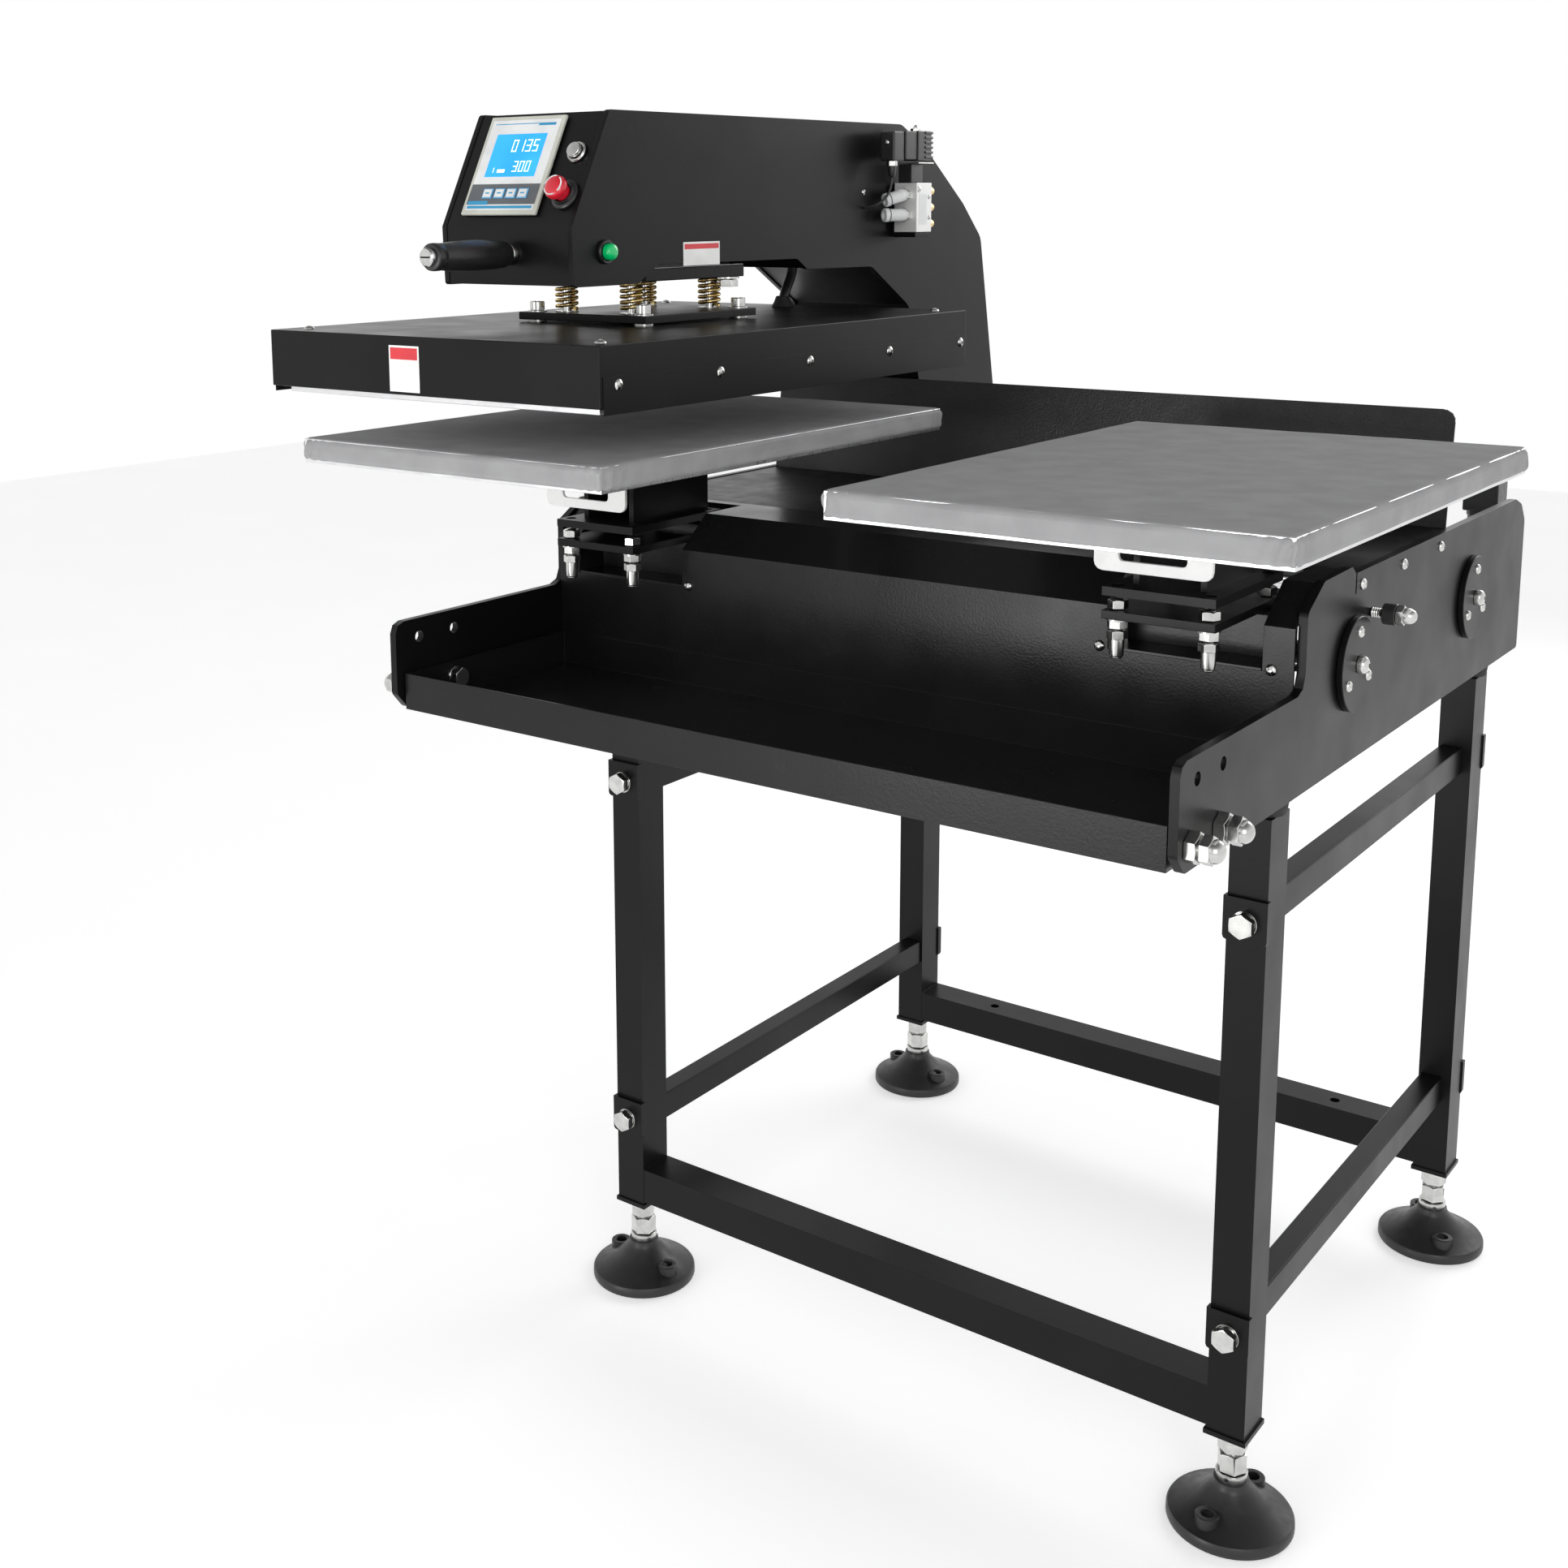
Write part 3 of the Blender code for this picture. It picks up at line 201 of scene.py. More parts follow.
def joined(pieces):
    """Join pieces into the first one. Their materials stay."""
    bpy.ops.object.select_all(action="DESELECT")
    for piece in pieces:
        piece.select_set(True)
    bpy.context.view_layer.objects.active = pieces[0]
    if len(pieces) > 1:
        bpy.ops.object.join()
    return bpy.context.view_layer.objects.active


def cad_copy(node, drop=None):
    """A merged copy of a CAD node, without the points that drop() names."""
    source = frame["nodes"][node]
    obj = bpy.data.objects.new(node + "_shape", source.data.copy())
    bpy.context.scene.collection.objects.link(obj)
    only(obj)
    bpy.ops.object.mode_set(mode="EDIT")
    bpy.ops.mesh.select_all(action="SELECT")
    bpy.ops.mesh.remove_doubles(threshold=0.00002)
    bpy.ops.mesh.select_all(action="DESELECT")
    bpy.ops.object.mode_set(mode="OBJECT")
    if drop:
        for vertex in obj.data.vertices:
            vertex.select = bool(drop(vertex.co))
        bpy.ops.object.mode_set(mode="EDIT")
        bpy.ops.mesh.select_mode(type="VERT")
        bpy.ops.mesh.delete(type="VERT")
        bpy.ops.object.mode_set(mode="OBJECT")
    bpy.ops.object.mode_set(mode="EDIT")
    bpy.ops.mesh.select_all(action="SELECT")
    bpy.ops.mesh.dissolve_limited(angle_limit=math.radians(1))
    bpy.ops.object.mode_set(mode="OBJECT")
    return obj


def body_of(node):
    bodies = frame["record"]["behaviour"]["bodies"]
    return next(body for body, members in bodies.items() if node in members)


def softened(node, finish, name, edge=0.0007, drop=None, segments=2):
    """A CAD piece with soft edges and its finish, in place of the CAD node."""
    obj = cad_copy(node, drop)
    soft_edges(obj, edge, segments)
    dress(obj, finish)
    return finished(obj, name, body_of(node), [node])


# ---- finishes -------------------------------------------------------------------------------------
class Finish:
    """A Principled material whose nodes are added one by one."""

    def __init__(self, name, colour, roughness, metallic=0.0):
        self.material = bpy.data.materials.new(name)
        self.material.use_nodes = True
        self.nodes = self.material.node_tree.nodes
        self.links = self.material.node_tree.links
        self.shader = self.nodes["Principled BSDF"]
        self.shader.inputs["Base Color"].default_value = (*colour, 1)
        self.shader.inputs["Roughness"].default_value = roughness
        self.shader.inputs["Metallic"].default_value = metallic
        self.place = self.nodes.new("ShaderNodeTexCoord").outputs["Object"]
        self.last_bump = None

    def noise(self, scale, detail=2.0, stretch=(1, 1, 1)):
        mapping = self.nodes.new("ShaderNodeMapping")
        mapping.inputs["Scale"].default_value = stretch
        self.links.new(self.place, mapping.inputs["Vector"])
        made = self.nodes.new("ShaderNodeTexNoise")
        made.inputs["Scale"].default_value = scale
        made.inputs["Detail"].default_value = detail
        self.links.new(mapping.outputs["Vector"], made.inputs["Vector"])
        return made.outputs["Fac"]

    def spread(self, value, low, high, start=0.3, end=0.7):
        """Map a noise value to a range."""
        ranger = self.nodes.new("ShaderNodeMapRange")
        ranger.inputs["From Min"].default_value = start
        ranger.inputs["From Max"].default_value = end
        ranger.inputs["To Min"].default_value = low
        ranger.inputs["To Max"].default_value = high
        self.links.new(value, ranger.inputs["Value"])
        return ranger.outputs["Result"]

    def rough(self, value, low, high):
        self.links.new(self.spread(value, low, high), self.shader.inputs["Roughness"])
        return self

    def tint(self, value, first, second, start=0.35, end=0.65):
        mix = self.nodes.new("ShaderNodeMix")
        mix.data_type = "RGBA"
        mix.inputs["A"].default_value = (*first, 1)
        mix.inputs["B"].default_value = (*second, 1)
        self.links.new(self.spread(value, 0, 1, start, end), mix.inputs["Factor"])
        self.links.new(mix.outputs["Result"], self.shader.inputs["Base Color"])
        return self

    def bump(self, value, strength, distance):
        made = self.nodes.new("ShaderNodeBump")
        made.inputs["Strength"].default_value = strength
        made.inputs["Distance"].default_value = distance
        self.links.new(value, made.inputs["Height"])
        if self.last_bump:
            self.links.new(self.last_bump, made.inputs["Normal"])
        self.last_bump = made.outputs["Normal"]
        self.links.new(self.last_bump, self.shader.inputs["Normal"])
        return self

    def set(self, **values):
        for key, value in values.items():
            self.shader.inputs[key.replace("_", " ")].default_value = value
        return self


def powder_coat():
    coat = Finish("black_powder_coat", (0.005, 0.005, 0.0052), 0.34)
    coat.set(Specular_IOR_Level=0.17)
    coat.tint(coat.noise(6.0, 3.0), (0.004, 0.004, 0.0042), (0.006, 0.006, 0.0063))
    coat.rough(coat.noise(14.0, 4.0), 0.28, 0.37)
    coat.bump(coat.noise(900.0, 2.0), 0.26, 0.0002)
    coat.bump(coat.noise(330.0, 1.0), 0.12, 0.0003)
    return coat.material


def satin_coat():
    coat = Finish("satin_powder_coat", (0.007, 0.007, 0.0072), 0.24)
    coat.set(Specular_IOR_Level=0.26)
    coat.tint(coat.noise(7.0, 3.0), (0.006, 0.006, 0.0062), (0.009, 0.009, 0.0093))
    coat.rough(coat.noise(18.0, 3.0), 0.20, 0.28)
    coat.bump(coat.noise(420.0, 2.0), 0.22, 0.0004)
    return coat.material


def rough_coat():
    coat = Finish("textured_powder_coat", (0.008, 0.008, 0.0083), 0.40)
    coat.set(Specular_IOR_Level=0.42)
    coat.tint(coat.noise(8.0, 3.0), (0.007, 0.007, 0.0072), (0.010, 0.010, 0.0103))
    coat.rough(coat.noise(40.0, 3.0), 0.34, 0.46)
    coat.bump(coat.noise(420.0, 2.0), 0.60, 0.0006)
    coat.bump(coat.noise(1300.0, 1.0), 0.25, 0.0003)
    return coat.material


def zinc():
    metal = Finish("bright_zinc", (0.60, 0.60, 0.59), 0.20, 1.0)
    metal.tint(metal.noise(90.0, 2.0), (0.54, 0.54, 0.53), (0.66, 0.66, 0.64))
    metal.rough(metal.noise(120.0, 2.0), 0.15, 0.25)
    return metal.material


def hard_chrome():
    metal = Finish("hard_chrome", (0.80, 0.80, 0.81), 0.10, 1.0)
    metal.rough(metal.noise(90.0, 3.0, (0.05, 1, 1)), 0.07, 0.16)
    return metal.material


def yellow_zinc():
    metal = Finish("yellow_zinc", (0.72, 0.52, 0.20), 0.26, 1.0)
    metal.tint(metal.noise(120.0, 3.0), (0.62, 0.42, 0.16), (0.82, 0.66, 0.32))
    metal.rough(metal.noise(300.0, 2.0), 0.20, 0.38)
    return metal.material


def milled_aluminium():
    metal = Finish("milled_aluminium", (0.78, 0.78, 0.79), 0.30, 1.0)
    metal.rough(metal.noise(60.0, 4.0, (1, 12, 1)), 0.24, 0.42)
    metal.bump(metal.noise(900.0, 2.0, (1, 8, 1)), 0.08, 0.0001)
    return metal.material


def pale_aluminium():
    metal = Finish("pale_aluminium", (0.78, 0.78, 0.77), 0.42, 0.35)
    metal.rough(metal.noise(80.0, 4.0, (1, 10, 1)), 0.34, 0.52)
    metal.bump(metal.noise(900.0, 2.0), 0.10, 0.0001)
    return metal.material


def brushed_steel():
    metal = Finish("brushed_steel", (0.62, 0.62, 0.61), 0.34, 1.0)
    metal.rough(metal.noise(180.0, 3.0, (1, 14, 1)), 0.26, 0.46)
    metal.set(Anisotropic=0.6)
    return metal.material


def painted_white():
    paint = Finish("white_lacquer", (0.80, 0.80, 0.79), 0.30)
    paint.rough(paint.noise(90.0, 3.0), 0.24, 0.38)
    paint.bump(paint.noise(700.0, 2.0), 0.06, 0.0002)
    return paint.material


def casting():
    paint = Finish("painted_casting", (0.05, 0.05, 0.052), 0.55)
    paint.tint(paint.noise(40.0, 3.0), (0.04, 0.04, 0.042), (0.06, 0.06, 0.063))
    paint.bump(paint.noise(260.0, 3.0), 0.4, 0.0006)
    return paint.material


def moulded(name, colour, roughness, grain=0.12):
    plastic = Finish(name, colour, roughness)
    lighter = tuple(min(1.0, c * 1.15) for c in colour)
    plastic.tint(plastic.noise(30.0, 3.0), colour, lighter)
    plastic.rough(plastic.noise(120.0, 3.0), roughness * 0.85, roughness * 1.15)
    plastic.bump(plastic.noise(1100.0, 2.0), grain, 0.0002)
    return plastic.material


def rubber():
    made = Finish("black_rubber", (0.014, 0.014, 0.014), 0.75)
    made.rough(made.noise(80.0, 3.0), 0.65, 0.85)
    made.bump(made.noise(600.0, 3.0), 0.25, 0.0003)
    return made.material


def brass():
    metal = Finish("brass", (0.78, 0.56, 0.24), 0.30, 1.0)
    metal.tint(metal.noise(500.0, 2.0), (0.66, 0.45, 0.18), (0.86, 0.66, 0.34))
    metal.bump(metal.noise(1600.0, 1.0), 0.5, 0.0003)
    return metal.material


def glossy(name, colour):
    plastic = Finish(name, colour, 0.22)
    plastic.rough(plastic.noise(60.0, 2.0), 0.16, 0.28)
    plastic.set(Coat_Weight=0.4, Coat_Roughness=0.08)
    return plastic.material


def woven_cloth():
    """Light grey plain weave, with threads about 0.6 mm apart both ways."""
    cloth = Finish("grey_woven_cloth", (0.33, 0.33, 0.335), 0.95)
    cloth.set(Specular_IOR_Level=0.1)
    threads = []
    for direction in ("X", "Y", "Z"):
        wave = cloth.nodes.new("ShaderNodeTexWave")
        wave.wave_type = "BANDS"
        wave.bands_direction = direction
        wave.inputs["Scale"].default_value = 520.0
        wave.inputs["Distortion"].default_value = 0.8
        wave.inputs["Detail"].default_value = 1.0
        wave.inputs["Detail Scale"].default_value = 2.0
        cloth.links.new(cloth.place, wave.inputs["Vector"])
        threads.append(wave.outputs["Fac"])
    first = cloth.nodes.new("ShaderNodeMath")
    first.operation = "MULTIPLY"
    cloth.links.new(threads[0], first.inputs[0])
    cloth.links.new(threads[1], first.inputs[1])
    second = cloth.nodes.new("ShaderNodeMath")
    second.operation = "ADD"
    cloth.links.new(first.outputs["Value"], second.inputs[0])
    cloth.links.new(threads[2], second.inputs[1])
    cloth.tint(cloth.noise(26.0, 6.0), (0.305, 0.305, 0.31), (0.345, 0.345, 0.35))
    cloth.bump(second.outputs["Value"], 0.20, 0.0002)
    cloth.bump(cloth.noise(60.0, 4.0), 0.12, 0.0006)
    return cloth.material


def display():
    glass = Finish("blue_display", (0.02, 0.28, 0.85), 0.12)
    glass.tint(glass.noise(20.0, 2.0), (0.015, 0.25, 0.80), (0.03, 0.34, 0.90))
    glass.set(Emission_Color=(0.01, 0.36, 1.0, 1), Emission_Strength=0.65)
    return glass.material


COAT = powder_coat()
ROUGH_COAT = rough_coat()
SATIN_COAT = satin_coat()
ZINC = zinc()
CHROME = hard_chrome()
YELLOW = yellow_zinc()
ALUMINIUM = milled_aluminium()
BRUSHED = brushed_steel()
PALE_ALUMINIUM = pale_aluminium()
WHITE = painted_white()
CAST = casting()
NYLON = moulded("black_nylon", (0.013, 0.013, 0.014), 0.42)
PLASTIC = moulded("black_plastic", (0.014, 0.014, 0.015), 0.34)
CREAM = moulded("cream_bezel", (0.52, 0.53, 0.47), 0.38)
PALE = moulded("pale_plastic", (0.72, 0.73, 0.73), 0.32)
RUBBER = rubber()
BRASS = brass()
RED = glossy("red_button", (0.62, 0.012, 0.03))
GREEN = glossy("green_lens", (0.0, 0.58, 0.16))
BLUE_KEY = glossy("blue_key", (0.10, 0.36, 0.62))
KEY_BAND = moulded("grey_key_band", (0.105, 0.115, 0.125), 0.35)
SCREEN = display()
TRIM_BLUE = glossy("trim_blue", (0.02, 0.30, 0.55))
DIGIT = Finish("display_digits", (0.9, 0.95, 1.0), 0.4).set(
    Emission_Color=(0.85, 0.93, 1.0, 1), Emission_Strength=0.7).material
CLOTH = woven_cloth()
LABEL_WHITE = moulded("label_white", (0.78, 0.78, 0.77), 0.35)
LABEL_RED = moulded("label_red", (0.60, 0.03, 0.04), 0.35)
# near-black painted shade: the grip stud's slot is drawn as a flat dark bar, not cut
SLOT_SHADE_PAINT = moulded("painted_slot_shade", (0.004, 0.004, 0.004), 0.8)


# ---- fasteners ------------------------------------------------------------------------------------
def standing(obj, spot, axis=UP):
    """Stand a piece made at the origin on a spot, along an axis."""
    obj.data.transform(Matrix.Translation(spot) @ along(axis))
    return obj


def placed(master, places, name, body):
    """Copies of one fastener at (point, axis) places, as one piece. The master goes."""
    made = [copied(master, Matrix.Translation(point) @ along(axis)) for point, axis in places]
    bpy.data.objects.remove(master)
    return finished(joined(made), name, body)


def ring_outline(inner, outer, start, end):
    """The outline of a washer or a ring, from one height to another."""
    return [(inner, start), (outer, start), (outer, end), (inner, end)]


def dome_outline(radius, base, rise, degrees):
    """Points of a rounded top that rises from its base height."""
    turns = [math.radians(d) for d in degrees]
    return [(radius * math.cos(turn), base + rise * math.sin(turn)) for turn in turns]


def thread_outline(root, crest, start, pitch, count):
    """The ribs of a thread, from a starting height."""
    ribs = []
    for k in range(count):
        ribs += [(root, start + k * pitch), (crest, start + pitch / 2 + k * pitch)]
    return ribs


def hex_prism(across, height, crown, finish=ZINC):
    """A hexagon nut or head at the origin with its corners chamfered as on a lathe."""
    radius = across / math.sqrt(3)
    middle_z = (0, 0, height / 2)
    bpy.ops.mesh.primitive_cylinder_add(vertices=6, radius=radius, depth=height, location=middle_z)
    nut = settle(bpy.context.active_object)
    bpy.ops.mesh.primitive_cone_add(vertices=48, radius1=radius * 1.02 + height * 1.7,
                                    radius2=across / 2 - crown * 0.6, depth=height * 1.0001,
                                    location=middle_z)
    cone = settle(bpy.context.active_object)
    modify(nut, "BOOLEAN", operation="INTERSECT", object=cone, solver="EXACT")
    bpy.data.objects.remove(cone)
    soft_edges(nut, 0.0003, 2)
    return dress(nut, finish)


def hex_bolt(across, height, washer):
    """A hexagon head on a flat washer and a split spring washer, standing on z = 0."""
    hole, flat_top, split_top = across * 0.22, 0.0015, 0.0035
    outline = [(hole, 0), (washer, 0), (washer, 0.0012), (washer - 0.0003, flat_top), (hole, flat_top)]
    flat = lathe(outline, ORIGIN, UP, ZINC)
    split = lathe(ring_outline(across * 0.25, across * 0.46, flat_top, split_top), ORIGIN, UP, ZINC)
    head = hex_prism(across, height, 0.001)
    head.data.transform(Matrix.Translation((0, 0, split_top)))
    return joined([head, flat, split])


def dome_nut(across):
    """A lock nut and then a dome nut, standing on z = 0."""
    base = hex_prism(across, across * 0.42, 0.001)
    upper = hex_prism(across * 0.92, across * 0.36, 0.001)
    upper.data.transform(Matrix.Translation((0, 0, across * 0.50)))
    ring = rod((0, 0, across * 0.40), UP, across * 0.30, across * 0.12, ZINC)
    radius, top = across * 0.42, across * 0.84
    rise = radius * 0.95
    outline = [(radius, top)] + dome_outline(radius, top, rise, range(10, 90, 10)) + [(0, top + rise)]
    return joined([base, upper, ring, lathe(outline, ORIGIN, UP, ZINC)])


def pan_screw(radius, height):
    """A domed screw head with a socket, standing on z = 0."""
    outline = [(radius, 0)] + dome_outline(radius, 0, height, range(0, 75, 12))
    outline += [(radius * 0.30, height), (radius * 0.26, height * 0.45), (0, height * 0.40)]
    return lathe(outline, ORIGIN, UP, ZINC, steps=24)


def socket_screw(radius, height):
    """A cylindrical socket head on a washer, standing on z = 0."""
    washer = lathe(ring_outline(0, radius * 1.35, 0, 0.0014), ORIGIN, UP, ZINC)
    outline = [(radius * 0.9, 0.0014), (radius, 0.0020), (radius, height - 0.0008), (radius * 0.92, height),
               (radius * 0.55, height), (radius * 0.50, height * 0.5), (0, height * 0.5)]
    return joined([lathe(outline, ORIGIN, UP, ZINC, steps=28), washer])


def dome_cap(radius, height):
    """A round bolt head with a domed top and a small socket, standing on z = 0."""
    outline = [(0, 0), (radius, 0), (radius, height * 0.45)]
    outline += dome_outline(radius, height * 0.45, height * 0.55, range(15, 75, 15))
    outline += [(radius * 0.25, height * 0.99), (radius * 0.22, height * 0.6), (0, height * 0.58)]
    return lathe(outline, ORIGIN, UP, ZINC, 28)


# ---- stand ----------------------------------------------------------------------------------------
FOOT_TURNS = {("front", "left"): math.radians(-8), ("front", "right"): math.radians(-100),
              ("rear", "left"): math.radians(-15), ("rear", "right"): math.radians(-55)}
FOOT_NUT = hex_prism(0.0250, 0.0195, 0.0012)


def stand_frames():
    for end in ENDS:
        softened(f"{end}_frame", COAT, f"{end}_legs", 0.0012)
    half, bolt_x, inward = 0.0125, 0.366, 0.0019
    foot_plate, bolt_depth = 0.002, 0.011
    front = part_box("front_frame")[1].y - foot_plate + CLEAR
    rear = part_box("rear_frame")[0].y + foot_plate - CLEAR
    places = []
    for level in LEVELS:
        for side, sign in SIDES:
            node = f"side_rail_{level}_{side}"
            low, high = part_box(node)
            x = middle(node).x - sign * inward
            rail = slab((x - half, front, low.z), (x + half, rear, high.z), COAT, 0.0016, 3)
            finished(rail, f"rail_{level}_{side}", "stand", [node])
            x, z = CENTRE_X + sign * bolt_x, (low.z + high.z) / 2
            places.append(((x, low.y + bolt_depth, z), FORWARD))
            places.append(((x, high.y - bolt_depth, z), (0, 1, 0)))
    placed(hex_bolt(0.0215, 0.0082, 0.0120), places, "stand_bolts", "stand")


def foot_pad(x, y, turn):
    """A conical pad with two hollow bosses for floor bolts."""
    pad = [(0, 0), (0.0575, 0), (0.0600, 0.0012), (0.0608, 0.0030), (0.0606, 0.0100), (0.0592, 0.0122),
           (0.0560, 0.0134), (0.0400, 0.0210), (0.0300, 0.0280), (0.0240, 0.0345), (0.0200, 0.0385),
           (0.0178, 0.0420), (0.0170, 0.0462), (0.0150, 0.0470), (0, 0.0470)]
    boss = [(0.0122, 0.0040), (0.0118, 0.0262), (0.0108, 0.0270), (0.0070, 0.0270), (0.0062, 0.0262),
            (0.0060, 0.0150), (0, 0.0148)]
    boss_reach = 0.040
    parts = [lathe(pad, (x, y, 0), UP, NYLON, 56)]
    for angle in (turn, turn + math.pi):
        spot = (x + boss_reach * math.cos(angle), y + boss_reach * math.sin(angle), 0)
        parts.append(lathe(boss, spot, UP, NYLON, 28))
    return joined(parts)


def foot_stud(x, y, turn):
    """A threaded stud in its collar, with the two nuts that set the height."""
    collar = [(0.0090, 0.0470), (0.0150, 0.0470), (0.0154, 0.0478), (0.0154, 0.0535), (0.0146, 0.0545),
              (0.0090, 0.0545)]
    start, pitch, count = 0.0480, 0.002, 27
    thread = thread_outline(0.0076, 0.0082, start, pitch, count)
    ring = lathe(collar, (x, y, 0), UP, ZINC)
    stud = lathe([(0, start)] + thread + [(0, start + count * pitch)], (x, y, 0), UP, ZINC, 24)
    nuts = [copied(FOOT_NUT, Matrix.Translation((x, y, z)) @ Matrix.Rotation(twist + turn, 4, "Z"))
            for z, twist in ((0.0556, 0.2), (0.0775, 0.7))]
    return joined([stud, ring] + nuts)


def rubber_buffer(x, y, bottom, height):
    outline = [(0, 0), (0.0225, 0), (0.0232, 0.001), (0.0250, height * 0.30), (0.0268, height * 0.48),
               (0.0285, height * 0.56), (0.0290, height * 0.62), (0.0290, height - 0.001), (0.0284, height),
               (0, height)]
    return lathe(outline, (x, y, bottom), UP, RUBBER, 48)


def levelling_feet():
    for end in ENDS:
        for side, _ in SIDES:
            foot, mount = f"levelling_foot_{end}_{side}", f"rubber_mount_{end}_{side}"
            x, y = middle(foot).x, middle(foot).y
            turn = FOOT_TURNS[(end, side)]
            finished(foot_pad(x, y, turn), f"foot_pad_{end}_{side}", "stand", [foot])
            finished(foot_stud(x, y, turn), f"foot_stud_{end}_{side}", "stand")
            low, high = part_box(mount)
            buffer = rubber_buffer(x, y, low.z, high.z - low.z)
            finished(buffer, f"buffer_{end}_{side}", "stand", [mount])


# ---- machine box ----------------------------------------------------------------------------------
BEAM_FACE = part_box("front_beam")[0].y + 0.0035  # the beam's sheet, behind its screw heads
COVER_SCREW_YS = (0.107, 0.224, 0.340)
COVER_SCREW_Z = 0.9235
TRAY_BOLT_YS = (-0.268, -0.211)
TRAY_BOLT_Z = 0.7805


def machine_box():
    tray_half, cover_half = 0.4122, BOX_SIDE - 0.0081
    for side, _ in SIDES:
        softened(f"side_plate_{side}", COAT, f"box_side_{side}", 0.0009)
    softened("tray", SATIN_COAT, "open_tray", 0.0009,
             drop=lambda p: p.x > CENTRE_X + tray_half or p.x < CENTRE_X - tray_half)
    softened("front_beam", SATIN_COAT, "beam", 0.0011, drop=lambda p: p.y < BEAM_FACE - CLEAR)
    softened("top_cover", ROUGH_COAT, "cover_sheet", 0.0006, drop=lambda p: abs(p.x - CENTRE_X) > cover_half)
    softened("rear_beam", COAT, "rear_cross_beam", 0.0006)
    softened("carriage", CAST, "carriage_block", 0.0012)
    for end in ENDS:
        softened(f"guide_shaft_{end}", CHROME, f"shaft_{end}", 0.0005)


def box_fasteners():
    disc = [(0, 0), (0.0432, 0), (0.0440, 0.0006), (0.0440, 0.0050), (0.0432, 0.0058), (0.0100, 0.0058),
            (0.0096, 0.0054), (0, 0.0054)]
    disc_face, screw_reach = 0.0057, 0.030
    centres = []
    for end, y in zip(ENDS, SHAFT_YS):
        for side, sign in SIDES:
            x = CENTRE_X + sign * BOX_FACE
            cap = lathe(disc, (x, y, SHAFT_Z), (sign, 0, 0), COAT, 64)
            finished(cap, f"cap_{end}_{side}", "stand", [f"shaft_cap_{end}_{side}"])
            centres.append((Vector((x + sign * disc_face, y, SHAFT_Z)), (sign, 0, 0)))
    places = []
    for spot, axis in centres:
        for turn in (math.radians(90), math.radians(-30), math.radians(210)):
            offset = Vector((0, screw_reach * math.cos(turn), screw_reach * math.sin(turn)))
            places.append((spot + offset, axis))
    for y in COVER_SCREW_YS:
        for _, sign in SIDES:
            places.append((Vector((CENTRE_X + sign * BOX_FACE, SHIFT_Y + y, COVER_SCREW_Z)), (sign, 0, 0)))
    placed(pan_screw(0.0054, 0.0036), places, "box_screws", "stand")
    placed(dome_cap(0.0082, 0.0095), centres, "shaft_bolts", "stand")
    places = []
    for _, station in STATIONS:
        for dx in (-0.080, 0.080):
            places.append((Vector((station + dx, BEAM_FACE - 0.0002, 0.868)), FORWARD))
    placed(pan_screw(0.0052, 0.0034), places, "beam_screws", "stand")


def tray_fasteners():
    tray_inside = 0.4099
    outside, inside = [], []
    for y in TRAY_BOLT_YS:
        for _, sign in SIDES:
            outside.append((Vector((CENTRE_X + sign * BOX_FACE, SHIFT_Y + y, TRAY_BOLT_Z)), (sign, 0, 0)))
            inside.append((Vector((CENTRE_X + sign * tray_inside, SHIFT_Y + y, TRAY_BOLT_Z)), (-sign, 0, 0)))
    placed(dome_nut(0.0235), outside, "tray_dome_nuts", "stand")
    placed(hex_bolt(0.0190, 0.0070, 0.0110), inside, "tray_bolt_heads", "stand")


def travel_stops():
    """On each side plate, a threaded pin with a black collar, a nut and a domed end."""
    pin = [(0, -0.0115), (0.0036, -0.0115), (0.0040, -0.0110)]
    pin += thread_outline(0.0040, 0.0046, 0.0010, 0.002, 6) + [(0.0046, 0.0128), (0, 0.0128)]
    collar = [(0.004, 0.0122), (0.0094, 0.0122), (0.0100, 0.0128), (0.0100, 0.0235), (0.0094, 0.0242),
              (0.004, 0.0242)]
    cap = [(0, 0.0305), (0.0076, 0.0305), (0.0076, 0.0335), (0.0070, 0.0365), (0.0054, 0.0395),
           (0.0030, 0.0412), (0, 0.0418)]
    nut_start = 0.0246
    for side, sign in SIDES:
        node, axis = f"travel_stop_{side}", (sign, 0, 0)
        start = (CENTRE_X + sign * BOX_SIDE, middle(node).y, middle(node).z)
        stud = lathe(pin, start, axis, ZINC, 24)
        black_ring = lathe(collar, start, axis, PLASTIC, 32)
        nut = hex_prism(0.0165, 0.0065, 0.0008)
        nut.data.transform(Matrix.Translation(start) @ along(axis) @ Matrix.Translation((0, 0, nut_start)))
        finished(joined([stud, nut, lathe(cap, start, axis, ZINC, 28)]), f"stop_pin_{side}", "stand",
                 [node])
        finished(black_ring, f"stop_collar_{side}", "stand")


